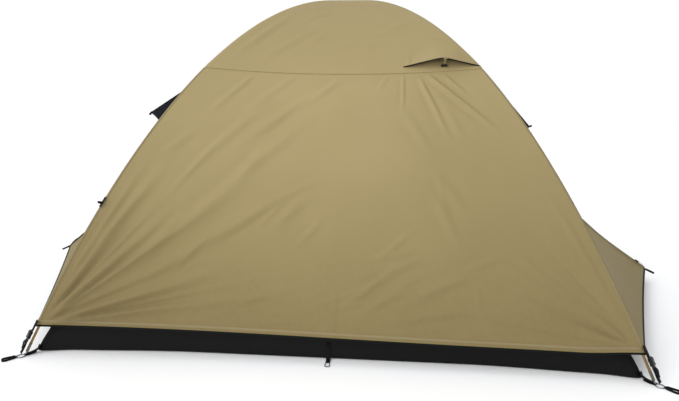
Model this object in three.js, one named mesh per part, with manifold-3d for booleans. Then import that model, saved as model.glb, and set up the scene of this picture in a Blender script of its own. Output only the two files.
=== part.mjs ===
// Two-pole dome tent with a full-coverage fly and two staked vestibules.
// Millimetres, +Z up. Origin: centre of the floor's underside, on the ground.
// +X runs through the vestibules, -Y is the near end without a door.
import * as THREE from 'three';
import { mergeVertices } from 'three/addons/utils/BufferGeometryUtils.js';
import Module from 'manifold-3d';

const wasm = await Module();
wasm.setup();

// ---- Driving dimensions -------------------------------------------------
const FOOT = 1123; // half the spacing of the pole feet
const APEX = 1452; // top of the fly
const FLATTEN = 0.04; // share of the arch that is fourth order
const POLE_INSET = 9; // feet of the pole's centreline inside the fly's line
const POLE_R = 4.5;
const POLE_WALL = 0.9;
const POLE_TOPS = { a: 1438, b: 1427.5 }; // the two poles cross one over the other

const FLY_T = 2.5; // fabric shells carry a working thickness
const HEM_Z = 102;
const SEAM_Z = 1050; // seam between the roof cap and the panels
const END_SAG = 24; // inward sag of an end panel at mid width
const SEAM_SAG = 8; // the same sag at the roof seam
const SEAM_GAP = 1;
const EDGE_GAP = 1;

const RIDGE_TOP_Z = 720; // the vestibule ridge leaves the side panel here
const RIDGE_RUN = 816; // horizontal reach of the ridge
const RIDGE_SLOPE = 0.98;
const RIDGE_CURVE = 0.00024;
const HEM_HOLLOW = 6; // how far a vestibule hem curves inward
const DOOR_GAP = 3.5;

const INNER_T = 2;
const TUB_HALF = 1067; // 7 ft by 7 ft floor
const TUB_TOP_HALF = 1049;
const TUB_TOP_Z = 130;
const TUB_LIP_Z = 8; // the walls start to lean in above this
const TUB_BOW = 27; // floor edges curve inward at mid length
const TUB_T = 3;
const INNER_KNEE_Z = 1000; // flat walls below, curved roof above
const INNER_KNEE_HALF = 560;
const INNER_APEX = 1380;
const DOORWAY = { u: 0.45, low: 180, high: 950 };

const END_VENT = { x: 440, low: 130, high: 90, hinge: 1200, length: 168, open: 23 };
const SIDE_VENT = { z: 980, near: -640, far: -292, length: 182, open: { left: 28, right: 5 } };
const HOOD_T = 2.5;
const HOOD_LIFT = 4;
const PROP = { from: 147, length: 52, width: 8, thick: 4 };

const COLOURS = {
  fly: ['#b0a078', 0.8, 0],
  fly_lower: ['#9c8a62', 0.8, 0],
  inner: ['#c9c6b8', 0.9, 0],
  tub: ['#191b18', 0.85, 0],
  mesh: ['#26292a', 0.9, 0],
  pole: ['#b98a3c', 0.35, 0.9],
  steel: ['#b5b7b8', 0.3, 1],
  plastic: ['#141414', 0.5, 0],
  webbing: ['#1b1c1b', 0.9, 0],
};

const tent = new THREE.Group();
const V = (x, y, z) => new THREE.Vector3(x, y, z);
const ROOM_CENTRE = V(0, 0, 500);

// ---- Curves of the arch -------------------------------------------------
// A leg is the curve |x| = |y| = half * r at z = top * (1 - (1 - k) r^2 - k r^4).
function archHalf(z, half, top) {
  const k = FLATTEN;
  const rise = Math.max(0, 1 - z / top);
  const square = (Math.sqrt((1 - k) ** 2 + 4 * k * rise) - (1 - k)) / (2 * k);
  return half * Math.sqrt(square);
}

function archHeight(r, top) {
  return top * (1 - (1 - FLATTEN) * r * r - FLATTEN * r ** 4);
}

const flyHalf = (z) => archHalf(z, FOOT, APEX);

function innerHalf(z) {
  if (z > INNER_KNEE_Z) {
    return INNER_KNEE_HALF * Math.sqrt((INNER_APEX - z) / (INNER_APEX - INNER_KNEE_Z));
  }
  const share = (z - TUB_TOP_Z) / (INNER_KNEE_Z - TUB_TOP_Z);
  return TUB_TOP_HALF + (INNER_KNEE_HALF - TUB_TOP_HALF) * share;
}

// The vestibule ridge on the +X side; s runs from 0 at its top to 1 at the stake.
function ridgePoint(s) {
  const run = RIDGE_RUN * s;
  const z = RIDGE_TOP_Z - RIDGE_SLOPE * run + RIDGE_CURVE * run * run;
  return V(flyHalf(RIDGE_TOP_Z) + run, 0, z);
}

// Sides of the tent: 0 right, 1 far, 2 left, 3 near.
function toSide(point, side) {
  return point.applyAxisAngle(V(0, 0, 1), (side * Math.PI) / 2);
}

function steps(from, to, count) {
  return Array.from({ length: count + 1 }, (_, i) => from + ((to - from) * i) / count);
}

// ---- Solids from surfaces -----------------------------------------------
// Closes a list of outer triangles into a shell by an inner copy and side walls.
function shellOf(triangles, thickness) {
  const outer = [];
  const index = new Map();
  const idOf = (p) => {
    const key = [p.x, p.y, p.z].map((c) => Math.round(c * 1000)).join(',');
    if (!index.has(key)) {
      index.set(key, outer.length);
      outer.push(p.clone());
    }
    return index.get(key);
  };
  let faces = triangles
    .map((t) => t.map(idOf))
    .filter(([a, b, c]) => a !== b && b !== c && c !== a);
  const normalOf = ([a, b, c]) => {
    const ab = outer[b].clone().sub(outer[a]);
    return ab.cross(outer[c].clone().sub(outer[a]));
  };
  const outward = faces.reduce((sum, f) => {
    return sum + normalOf(f).dot(outer[f[0]].clone().sub(ROOM_CENTRE));
  }, 0);
  if (outward < 0) faces = faces.map(([a, b, c]) => [a, c, b]);
  const normals = outer.map(() => V(0, 0, 0));
  faces.forEach((f) => f.forEach((i) => normals[i].add(normalOf(f))));
  const inner = outer.map((p, i) => p.clone().addScaledVector(normals[i].normalize(), -thickness));
  const count = outer.length;
  const solid = faces.flatMap(([a, b, c]) => [[a, b, c], [a + count, c + count, b + count]]);
  const edges = new Set(faces.flatMap(([a, b, c]) => [`${a},${b}`, `${b},${c}`, `${c},${a}`]));
  for (const edge of edges) {
    const [a, b] = edge.split(',').map(Number);
    if (edges.has(`${b},${a}`)) continue;
    solid.push([b, a, a + count], [b, a + count, b + count]);
  }
  const geometry = new THREE.BufferGeometry();
  geometry.setFromPoints(outer.concat(inner));
  geometry.setIndex(solid.flat());
  return geometry;
}

function gridTriangles(pointAt, us, vs, keep = () => true) {
  const triangles = [];
  for (let i = 0; i + 1 < us.length; i += 1) {
    for (let j = 0; j + 1 < vs.length; j += 1) {
      if (!keep((us[i] + us[i + 1]) / 2, (vs[j] + vs[j + 1]) / 2)) continue;
      const a = pointAt(us[i], vs[j]);
      const b = pointAt(us[i + 1], vs[j]);
      const c = pointAt(us[i + 1], vs[j + 1]);
      const d = pointAt(us[i], vs[j + 1]);
      triangles.push([a, b, c], [a, c, d]);
    }
  }
  return triangles;
}

function toSolid(geometry) {
  const plain = geometry.clone();
  plain.deleteAttribute('normal');
  plain.deleteAttribute('uv');
  const merged = mergeVertices(plain, 1e-4);
  const vertProperties = new Float32Array(merged.attributes.position.array);
  const triVerts = new Uint32Array(merged.index.array);
  return new wasm.Manifold(new wasm.Mesh({ numProp: 3, vertProperties, triVerts }));
}

function fromSolid(solid) {
  const { vertProperties, triVerts } = solid.getMesh();
  const geometry = new THREE.BufferGeometry();
  geometry.setAttribute('position', new THREE.BufferAttribute(vertProperties, 3));
  geometry.setIndex(new THREE.BufferAttribute(triVerts, 1));
  return geometry;
}

function join(...parts) {
  return fromSolid(parts.map(toSolid).reduce((a, b) => a.add(b)));
}

function cut(body, ...tools) {
  return fromSolid(tools.map(toSolid).reduce((a, b) => a.subtract(b), toSolid(body)));
}

function box(low, high) {
  const size = high.map((h, i) => h - low[i]);
  const geometry = new THREE.BoxGeometry(...size);
  return geometry.translate(...low.map((l, i) => l + size[i] / 2));
}

function rod(radius, from, to, sides = 12) {
  const along = to.clone().sub(from);
  const geometry = new THREE.CylinderGeometry(radius, radius, along.length(), sides);
  const turn = new THREE.Quaternion().setFromUnitVectors(V(0, 1, 0), along.clone().normalize());
  const middle = from.clone().add(to).multiplyScalar(0.5);
  return geometry.applyQuaternion(turn).translate(middle.x, middle.y, middle.z);
}

function addMesh(name, geometry, colour, parent = tent) {
  const [color, roughness, metalness] = COLOURS[colour];
  const material = new THREE.MeshStandardMaterial({ color, roughness, metalness });
  const mesh = new THREE.Mesh(geometry, material);
  mesh.name = name;
  parent.add(mesh);
  return mesh;
}

// ---- Poles ----------------------------------------------------------------
const POLE_END_Z = 14;
const POLE_SECTIONS = 4;
const POLE_STEPS = 10;

function tubeSection() {
  const ring = new THREE.Shape();
  ring.absarc(0, 0, POLE_R, 0, Math.PI * 2);
  const bore = new THREE.Path();
  bore.absarc(0, 0, POLE_R - POLE_WALL, 0, Math.PI * 2, true);
  ring.holes.push(bore);
  return ring;
}

function makePole(letter, turn) {
  const top = POLE_TOPS[letter];
  const half = FOOT - POLE_INSET;
  const end = archHalf(POLE_END_Z, 1, top);
  const pointAt = (r) => V(half * r * turn, half * r, archHeight(r, top));
  for (let i = 0; i < POLE_SECTIONS; i += 1) {
    const from = -end + (2 * end * i) / POLE_SECTIONS + 0.0003;
    const to = -end + (2 * end * (i + 1)) / POLE_SECTIONS - 0.0003;
    const path = new THREE.CatmullRomCurve3(steps(from, to, POLE_STEPS).map(pointAt));
    const options = { steps: POLE_STEPS, extrudePath: path, curveSegments: 4 };
    const tube = new THREE.ExtrudeGeometry(tubeSection(), options);
    addMesh(`pole_${letter}_section_${i + 1}`, tube, 'pole');
  }
}

makePole('a', 1);
makePole('b', -1);

// ---- Fly: roof cap, end panels, side panels --------------------------------
function endSag(u, z) {
  const share = (z - HEM_Z) / (SEAM_Z - HEM_Z);
  return (END_SAG + (SEAM_SAG - END_SAG) * share) * (1 - u * u);
}

// The roof cap closes to the apex; at every height it is a square whose sides sag a little.
function makeCap() {
  const heights = [SEAM_Z + SEAM_GAP, 1130, 1210, 1290, 1360, 1415, 1443, APEX];
  const triangles = [];
  for (let side = 0; side < 4; side += 1) {
    const pointAt = (u, z) => {
      const half = flyHalf(z);
      const sag = (SEAM_SAG * (1 - u * u) * (APEX - z)) / (APEX - SEAM_Z);
      return toSide(V(half - sag, u * half, z), side);
    };
    triangles.push(...gridTriangles(pointAt, steps(-1, 1, 8), heights));
  }
  addMesh('fly_roof_cap', shellOf(triangles, FLY_T), 'fly');
}

function makeFlyEnd(name, turned) {
  const pointAt = (u, z) => {
    const half = flyHalf(z);
    return V(u * (half - EDGE_GAP), -half + endSag(u, z), z);
  };
  const triangles = gridTriangles(pointAt, steps(-1, 1, 10), steps(HEM_Z, SEAM_Z, 10));
  const geometry = shellOf(triangles, FLY_T);
  if (turned) geometry.rotateZ(Math.PI);
  addMesh(name, geometry, 'fly');
}

const CORNER = V(flyHalf(HEM_Z), flyHalf(HEM_Z), HEM_Z);
const RIDGE_TOP = ridgePoint(0);

// Leg point beside the side panel, inset so that the end panel closes the corner.
function legPoint(s, ySign) {
  const z = RIDGE_TOP_Z + (HEM_Z - RIDGE_TOP_Z) * s;
  const half = flyHalf(z);
  return V(half, ySign * (half - FLY_T - EDGE_GAP), z);
}

const foldPoint = (s) => RIDGE_TOP.clone().lerp(CORNER, s);

function between(a, b, t, hollow) {
  const p = a.clone().lerp(b, t);
  const inward = hollow * 4 * t * (1 - t);
  return p.add(V(-inward, 0, 0));
}

function sidePanelTriangles() {
  const upper = (u, z) => {
    const half = flyHalf(z);
    const sag = (SEAM_SAG * (1 - u * u) * (z - RIDGE_TOP_Z)) / (SEAM_Z - RIDGE_TOP_Z);
    return V(half - sag, u * (half - FLY_T - EDGE_GAP), z);
  };
  const near = (t, s) => {
    const ridge = ridgePoint(s).setY(-DOOR_GAP / 2);
    return between(legPoint(s, -1), ridge, t, HEM_HOLLOW * s * s);
  };
  const far = (t, s) => {
    if (s === 0 && t === 0) return near(1, 0);
    const leg = legPoint(s, 1);
    const fold = foldPoint(s);
    const inset = s > 0 ? Math.min(0.5, DOOR_GAP / (1 + fold.distanceTo(leg))) : 0;
    return between(fold.lerp(leg, inset), leg, t, 0);
  };
  const columns = steps(0, 1, 5);
  const heights = steps(RIDGE_TOP_Z, SEAM_Z, 4);
  const isHigh = (z) => z > RIDGE_TOP_Z;
  return [
    ...gridTriangles(near, columns, steps(1, 0, 8)),
    ...gridTriangles((t, z) => (isHigh(z) ? upper(t - 1, z) : near(t, 0)), columns, heights),
    ...gridTriangles((t, z) => (isHigh(z) ? upper(t, z) : far(t, 0)), columns, heights),
    ...gridTriangles(far, columns, steps(0.97, 0, 8)),
  ];
}

function makeFlySide(name, mirrored) {
  const geometry = shellOf(sidePanelTriangles(), FLY_T);
  addMesh(name, mirrored ? mirrorX(geometry) : geometry, 'fly');
}

function mirrorX(geometry) {
  const mirror = geometry.clone();
  mirror.scale(-1, 1, 1);
  const order = mirror.index.array;
  for (let i = 0; i < order.length; i += 3) {
    [order[i], order[i + 1]] = [order[i + 1], order[i]];
  }
  return mirror;
}

// The door is the far half below the straight fold from ridge top to corner.
// Its lowest point is cut back, so that the folded door clears the corner buckle.
const DOOR_TOP_S = 0.03;
const DOOR_TIP = { from: 0.87, cut: 62 };

function makeVestibuleDoor(name, mirrored) {
  const pointAt = (t, s) => {
    const fold = foldPoint(s);
    const ridge = ridgePoint(s).setY(DOOR_GAP / 2);
    const low = Math.max(0, (s - DOOR_TIP.from) / (1 - DOOR_TIP.from));
    const inset = Math.max(DOOR_GAP, DOOR_TIP.cut * low) / fold.distanceTo(ridge);
    return between(fold, ridge, inset + (1 - inset) * t, HEM_HOLLOW * s * s);
  };
  const rows = [...steps(DOOR_TOP_S, DOOR_TIP.from, 7), 1];
  const geometry = shellOf(gridTriangles(pointAt, steps(0, 1, 5), rows), FLY_T);
  addMesh(name, mirrored ? mirrorX(geometry) : geometry, 'fly_lower');
}

makeCap();
makeFlyEnd('fly_end_near', false);
makeFlyEnd('fly_end_far', true);
makeFlySide('fly_side_right', false);
makeFlySide('fly_side_left', true);
makeVestibuleDoor('vestibule_door_right', false);
makeVestibuleDoor('vestibule_door_left', true);

// ---- Inner tent ------------------------------------------------------------
// Edges bow inward; the stretch beside a doorway stays flat.
function bowAt(u) {
  const flat = DOORWAY.u;
  const past = Math.max(0, (Math.abs(u) - flat) / (1 - flat));
  return 0.5 * (1 + Math.cos(Math.PI * past));
}

function makeTub() {
  const halfAt = { 0: TUB_HALF, [TUB_LIP_Z]: TUB_HALF, [TUB_TOP_Z]: TUB_TOP_HALF };
  const us = steps(-1, -DOORWAY.u, 4).concat(steps(DOORWAY.u, 1, 4));
  const triangles = [];
  for (let side = 0; side < 4; side += 1) {
    const rimPoint = (u, z) => toSide(V(halfAt[z] - TUB_BOW * bowAt(u), u * halfAt[z], z), side);
    triangles.push(...gridTriangles(rimPoint, us, [0, TUB_LIP_Z, TUB_TOP_Z]));
    for (let i = 0; i + 1 < us.length; i += 1) {
      triangles.push([V(0, 0, 0), rimPoint(us[i + 1], 0), rimPoint(us[i], 0)]);
    }
  }
  addMesh('floor_tub', shellOf(triangles, TUB_T), 'tub');
}

function gorePoint(u, z) {
  const half = innerHalf(z);
  const fade = Math.min(1, (INNER_APEX - z) / (INNER_APEX - INNER_KNEE_Z));
  return V(half - TUB_BOW * bowAt(u) * fade, u * half, z);
}

const GORE_US = steps(-0.995, -DOORWAY.u, 4).concat(steps(DOORWAY.u, 0.995, 4));
const GORE_ZS = [
  TUB_TOP_Z + 2, DOORWAY.low, 440, 700, DOORWAY.high, INNER_KNEE_Z, 1080, 1160, 1240, 1310, 1350, 1379.6,
];

const GORE_TAPER = { from: 0.9, edge: 0.99 };

function isDoorway(u, z) {
  return Math.abs(u) < DOORWAY.u && z > DOORWAY.low && z < DOORWAY.high;
}

// The two gores with doorways end just short of the corners, inside the other two.
function makeGore(name, side, hasDoor) {
  const pointAt = (u, z) => {
    if (!hasDoor) return toSide(gorePoint(u, z), side);
    const past = Math.max(0, Math.abs(u) - GORE_TAPER.from) / (0.995 - GORE_TAPER.from);
    const p = gorePoint(u * GORE_TAPER.edge, z);
    return toSide(p.setY(p.y - Math.sign(u) * (INNER_T + EDGE_GAP) * past), side);
  };
  const keep = (u, z) => !(hasDoor && isDoorway(u, z));
  addMesh(name, shellOf(gridTriangles(pointAt, GORE_US, GORE_ZS, keep), INNER_T), 'inner');
}

function makeInnerDoor(name, side) {
  const edge = DOORWAY.u - 0.006;
  const pointAt = (u, z) => toSide(gorePoint(u, z), side);
  const zs = steps(DOORWAY.low + 4, DOORWAY.high - 4, 3);
  addMesh(name, shellOf(gridTriangles(pointAt, steps(-edge, edge, 2), zs), INNER_T), 'mesh');
}

makeTub();
makeGore('inner_side_right', 0, true);
makeGore('inner_end_far', 1, false);
makeGore('inner_side_left', 2, true);
makeGore('inner_end_near', 3, false);
makeInnerDoor('inner_door_right', 0);
makeInnerDoor('inner_door_left', 2);

// ---- Clips ------------------------------------------------------------------
const CLIP_Z = 700;
const CLIP = { inner: 6.2, outer: 9, width: 14, tab: 9, tabThick: 1.2 };

// A C-shaped hook on the pole with a tab to the seam of the inner tent.
function makePoleClip(name, angle, letter) {
  const poleHalf = (z) => archHalf(z, FOOT - POLE_INSET, POLE_TOPS[letter]);
  const reach = poleHalf(CLIP_Z) * Math.SQRT2;
  const lean = Math.atan2((poleHalf(CLIP_Z - 50) - poleHalf(CLIP_Z + 50)) * Math.SQRT2, 100);
  const span = (reach - innerHalf(CLIP_Z) * Math.SQRT2) * Math.cos(lean) - 3;
  const hook = new THREE.Shape();
  hook.absarc(0, 0, CLIP.outer, Math.PI * 0.6, Math.PI * 1.4, false);
  hook.absarc(0, 0, CLIP.inner, Math.PI * 1.4, Math.PI * 0.6, true);
  const options = { depth: CLIP.width, bevelEnabled: false, curveSegments: 5 };
  const ring = new THREE.ExtrudeGeometry(hook, options).translate(0, 0, -CLIP.width / 2);
  const tab = box([-span, -CLIP.tab, -CLIP.tabThick], [1 - CLIP.outer, CLIP.tab, CLIP.tabThick]);
  const geometry = join(ring, tab);
  geometry.rotateY(-lean).translate(reach, 0, CLIP_Z).rotateZ(angle);
  addMesh(name, geometry, 'plastic');
}

const LEGS = [
  ['near_right', -Math.PI / 4, 'b'],
  ['far_right', Math.PI / 4, 'a'],
  ['far_left', (3 * Math.PI) / 4, 'b'],
  ['near_left', (-3 * Math.PI) / 4, 'a'],
];

LEGS.forEach(([leg, angle, letter]) => makePoleClip(`pole_clip_${leg}`, angle, letter));

function makeApexClip() {
  const top = POLE_TOPS.b - POLE_R - 1.5;
  const low = INNER_APEX + 4;
  const neck = 4;
  const foot = 9;
  const disc = 22;
  const profile = [
    [0, low], [foot, low], [foot, low + 8], [neck, low + 12],
    [neck, top - 12], [disc, top - 8], [disc, top], [0, top],
  ];
  const points = profile.map(([r, z]) => new THREE.Vector2(r, z));
  addMesh('apex_clip', new THREE.LatheGeometry(points, 16).rotateX(Math.PI / 2), 'plastic');
}

makeApexClip();

// ---- Vents --------------------------------------------------------------------
// A hood is a flat trapezoid that hangs from its hinge at an angle from the surface.
function hoodPlate(wide, narrow, length) {
  const outline = new THREE.Shape([
    new THREE.Vector2(-narrow, 0),
    new THREE.Vector2(narrow, 0),
    new THREE.Vector2(wide, -length),
    new THREE.Vector2(-wide, -length),
  ]);
  return new THREE.ExtrudeGeometry(outline, { depth: HOOD_T, bevelEnabled: false });
}

// Lean from the vertical of the chord of the fly between two heights, in radians.
function flyLean(low, high) {
  return Math.atan2(flyHalf(low) - flyHalf(high), high - low);
}

const END_HOOD_LEAN = flyLean(1070, END_VENT.hinge);

function makeEndVent(end, turn) {
  const group = new THREE.Group();
  group.rotation.z = turn;
  tent.add(group);
  const frame = new THREE.Group();
  frame.position.set(END_VENT.x, -flyHalf(END_VENT.hinge) - 1, END_VENT.hinge + 1);
  frame.rotation.x = Math.PI / 2 - END_HOOD_LEAN;
  group.add(frame);
  // In this frame -Y' runs down the fly, Z' points away from it.
  const hood = new THREE.Group();
  hood.position.z = HOOD_LIFT;
  hood.rotation.x = THREE.MathUtils.degToRad(-END_VENT.open);
  frame.add(hood);
  addMesh(`end_vent_hood_${end}`, hoodPlate(END_VENT.low, END_VENT.high, END_VENT.length), 'fly', hood);
  const low = [-PROP.width / 2, -PROP.from - PROP.thick / 2, HOOD_LIFT / 2];
  const high = [PROP.width / 2, -PROP.from + PROP.thick / 2, HOOD_LIFT / 2 + PROP.length];
  addMesh(`end_vent_prop_${end}`, box(low, high), 'plastic', frame);
}

makeEndVent('near', 0);
makeEndVent('far', Math.PI);

function makeSideVent(side, sign) {
  const lean = flyLean(820, SIDE_VENT.z);
  const width = SIDE_VENT.far - SIDE_VENT.near;
  const plate = hoodPlate(width / 2, width / 2 - 14, SIDE_VENT.length);
  const open = THREE.MathUtils.degToRad(SIDE_VENT.open[side]);
  plate.rotateX(Math.PI / 2);
  plate.rotateZ(Math.PI / 2);
  plate.rotateY(-(lean + open));
  const x = flyHalf(SIDE_VENT.z) + HOOD_LIFT;
  plate.translate(x, (SIDE_VENT.far + SIDE_VENT.near) / 2, SIDE_VENT.z);
  addMesh(`side_vent_hood_${side}`, sign < 0 ? mirrorX(mergeVertices(toPlain(plate))) : plate, 'fly');
}

function toPlain(geometry) {
  const plain = geometry.clone();
  plain.deleteAttribute('normal');
  plain.deleteAttribute('uv');
  return plain;
}

makeSideVent('right', 1);
makeSideVent('left', -1);

// ---- Zip sliders ------------------------------------------------------------
function sliderSolid() {
  const body = box([-5, -11, 0], [5, 11, 5]);
  const pull = box([-3, -42, 5.2], [3, -6, 7]);
  const bridge = box([-2, -9, 4], [2, -5, 6]);
  return join(body, pull, bridge);
}

function aim(geometry, forward, up) {
  const right = forward.clone().cross(up).normalize();
  const top = right.clone().cross(forward).normalize();
  return geometry.applyMatrix4(new THREE.Matrix4().makeBasis(right, forward, top));
}

const SLIDER_S = { low: 0.93, high: 0.35 };

function makeVestibuleSlider(side, sign) {
  const low = ridgePoint(SLIDER_S.low);
  const high = ridgePoint(SLIDER_S.high);
  const slider = aim(sliderSolid(), high.clone().sub(low).normalize(), V(1, 0, 1));
  slider.translate(low.x + 2, -9, low.z + 3);
  addMesh(`vestibule_zip_slider_${side}`, sign < 0 ? mirrorX(slider) : slider, 'plastic');
}

function makeInnerSlider(side, sign) {
  const u = -(DOORWAY.u + 0.022);
  const low = gorePoint(u, DOORWAY.low + 60);
  const high = gorePoint(u, DOORWAY.high - 60);
  const slider = aim(sliderSolid(), high.clone().sub(low).normalize(), V(1, 0, 0.5));
  slider.translate(low.x + 2, low.y, low.z + 2);
  addMesh(`inner_zip_slider_${side}`, sign < 0 ? mirrorX(slider) : slider, 'plastic');
}

[['right', 1], ['left', -1]].forEach(([side, sign]) => {
  makeVestibuleSlider(side, sign);
  makeInnerSlider(side, sign);
});

// ---- Corners ------------------------------------------------------------------
const RING = { r: 14, wire: 2, z: 2.2 };
const LEG_LEAN = Math.atan2((FOOT - flyHalf(HEM_Z)) * Math.SQRT2, HEM_Z);
const LOOP = { start: 17.5, length: 44, thick: 1.8 };

function loopShape(start, length, narrow, wide, band) {
  const end = start + length;
  const outer = new THREE.Shape();
  outer.moveTo(start, -narrow);
  outer.lineTo(end - wide, -wide);
  outer.absarc(end - wide, 0, wide, -Math.PI / 2, Math.PI / 2, false);
  outer.lineTo(start, narrow);
  outer.closePath();
  const inner = new THREE.Path();
  inner.moveTo(start + band, -(narrow - band));
  inner.lineTo(start + band, narrow - band);
  inner.lineTo(end - wide, wide - band);
  inner.absarc(end - wide, 0, wide - band, Math.PI / 2, -Math.PI / 2, true);
  inner.closePath();
  outer.holes.push(inner);
  return outer;
}

function makeRingPin(corner, group) {
  const ring = new THREE.TorusGeometry(RING.r, RING.wire, 8, 20).translate(0, 0, RING.z);
  const up = V(-Math.sin(LEG_LEAN), 0, Math.cos(LEG_LEAN));
  const foot = V(-RING.r, 0, RING.z);
  const pin = rod(2.4, foot, foot.clone().addScaledVector(up, 34));
  addMesh(`ring_pin_${corner}`, join(ring, pin), 'steel', group);
}

function makeCornerStrap(corner, group) {
  const strap = box([-52, -10, 0], [0, 10, 1.6]);
  strap.rotateY(0.09).translate(-RING.r - 5.5, 0, 0.6);
  addMesh(`corner_strap_${corner}`, strap, 'webbing', group);
}

function makeStakeLoop(corner, group) {
  const shape = loopShape(LOOP.start, LOOP.length, 7, 12, 3);
  const loop = new THREE.ExtrudeGeometry(shape, { depth: LOOP.thick, bevelEnabled: false, curveSegments: 6 });
  addMesh(`stake_loop_${corner}`, loop.translate(0, 0, 0.4), 'webbing', group);
}

function makeBuckle(corner, group) {
  const leg = new THREE.Group();
  leg.position.set((flyHalf(HEM_Z) - FOOT) * Math.SQRT2 + 1, 0, HEM_Z);
  leg.rotation.y = -LEG_LEAN;
  group.add(leg);
  const shell = box([2, -13, -46], [9.5, 13, -18]);
  const cavity = box([3.4, -10.6, -47], [8.1, 10.6, -22]);
  const windows = box([3.4, -14, -40], [8.1, 14, -31]);
  const hemTab = box([2, -10, -19], [3.4, 10, 24]);
  addMesh(`fly_buckle_female_${corner}`, join(cut(shell, cavity, windows), hemTab), 'plastic', leg);
  const base = box([3.8, -12, -60], [7.7, 12, -46.6]);
  const prongs = [-8.6, 0, 8.6].map((y) => box([4.2, y - 1.7, -48], [7.3, y + 1.7, -25]));
  const tail = box([4.6, -10, -106], [6.2, 10, -58]);
  addMesh(`fly_buckle_male_${corner}`, join(base, ...prongs, tail), 'plastic', leg);
}

LEGS.forEach(([corner, angle]) => {
  const group = new THREE.Group();
  group.position.set(FOOT * Math.SQRT2 * Math.cos(angle), FOOT * Math.SQRT2 * Math.sin(angle), 0);
  group.rotation.z = angle;
  tent.add(group);
  makeRingPin(corner, group);
  makeCornerStrap(corner, group);
  makeStakeLoop(corner, group);
  makeBuckle(corner, group);
});

// ---- Vestibule stake loops ------------------------------------------------------
function makeVestibuleLoop(side, turn) {
  const tip = ridgePoint(1);
  const shape = loopShape(4, 46, 7, 12, 3);
  const loop = new THREE.ExtrudeGeometry(shape, { depth: LOOP.thick, bevelEnabled: false, curveSegments: 6 });
  loop.rotateY(0.43).translate(tip.x, 0, tip.z - 2).rotateZ(turn);
  addMesh(`vestibule_stake_loop_${side}`, loop, 'webbing');
}

makeVestibuleLoop('right', 0);
makeVestibuleLoop('left', Math.PI);

export default tent;
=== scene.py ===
"""Two-pole dome tent: tan fly with two staked vestibules, black tub floor, inner tent.

Metres, +Z up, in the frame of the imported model. -Y is the near end without a door.
"""
import math

import bmesh
import bpy
import numpy as np
from mathutils import Matrix, Vector


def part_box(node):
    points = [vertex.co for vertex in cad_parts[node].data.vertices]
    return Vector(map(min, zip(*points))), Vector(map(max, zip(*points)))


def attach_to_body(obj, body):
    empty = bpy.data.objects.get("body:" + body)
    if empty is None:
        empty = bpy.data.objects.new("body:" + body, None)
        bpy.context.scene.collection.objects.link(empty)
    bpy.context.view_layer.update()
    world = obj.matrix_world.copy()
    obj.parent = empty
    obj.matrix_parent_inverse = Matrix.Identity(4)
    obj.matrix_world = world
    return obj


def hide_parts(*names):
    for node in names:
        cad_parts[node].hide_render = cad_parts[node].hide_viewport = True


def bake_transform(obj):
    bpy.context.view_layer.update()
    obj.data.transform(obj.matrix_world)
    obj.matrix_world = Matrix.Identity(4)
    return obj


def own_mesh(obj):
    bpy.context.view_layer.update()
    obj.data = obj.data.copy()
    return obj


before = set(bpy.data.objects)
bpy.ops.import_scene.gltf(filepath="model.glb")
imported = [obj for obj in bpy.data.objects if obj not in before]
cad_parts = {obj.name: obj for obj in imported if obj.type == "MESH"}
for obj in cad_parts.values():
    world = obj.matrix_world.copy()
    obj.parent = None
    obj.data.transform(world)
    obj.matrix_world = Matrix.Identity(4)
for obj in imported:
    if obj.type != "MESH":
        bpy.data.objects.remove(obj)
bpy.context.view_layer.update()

# ---- Driving dimensions ------------------------------------------------------
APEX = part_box("fly_roof_cap")[1][2]
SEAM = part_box("fly_end_near")[1][2]
HEM = 0.102
# The fly follows one arch: z = APEX (1 - (1 - FLATTEN) r^2 - FLATTEN r^4), with r = x / FOOT.
FOOT, FLATTEN = 1.123, 0.04
# How far the middle of a wall hangs inside the arch, at the hem and at the roof seam.
END_SAG, SEAM_SAG = 0.024, 0.008
# The vestibule ridge leaves the arch at RIDGE_TOP and runs RIDGE_RUN out.
RIDGE_TOP = 0.720
RIDGE_RUN, RIDGE_SLOPE, RIDGE_CURVE = 0.816, 0.98, 0.24
HEM_HOLLOW = 0.006
# The roof seam's height in the middle of a wall, and how much higher it is at the legs.
SEAM_MIDDLE, SEAM_DIP = 1.059, 0.026
TUB_HALF, TUB_TOP_HALF, TUB_TOP, TUB_BOW = 1.067, 1.049, 0.130, 0.027
KNEE, KNEE_HALF, INNER_APEX = 1.0, 0.560, 1.380
DOOR_U, DOOR_LOW, DOOR_HIGH = 0.45, 0.180, 0.950
POLE_R, POLE_INSET, POLE_END = 0.0045, 0.009, 0.014
POLE_TOPS = {"a": 1.438, "b": 1.4275}
CLOTH = 0.0007
CLIP_HEIGHTS = (0.30, 0.50, 0.70, 0.90)
PANEL_FEET = ((-1.07, 0.108), (1.07, 0.108))
ALONG_X, ALONG_Y, UP = np.eye(3)
SIDES = (("right", 1), ("left", -1))
ENDS = (("near", 0), ("far", 2))
LEGS = (
    ("near_right", -math.pi / 4, "b"),
    ("far_right", math.pi / 4, "a"),
    ("far_left", 3 * math.pi / 4, "b"),
    ("near_left", -3 * math.pi / 4, "a"),
)
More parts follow.
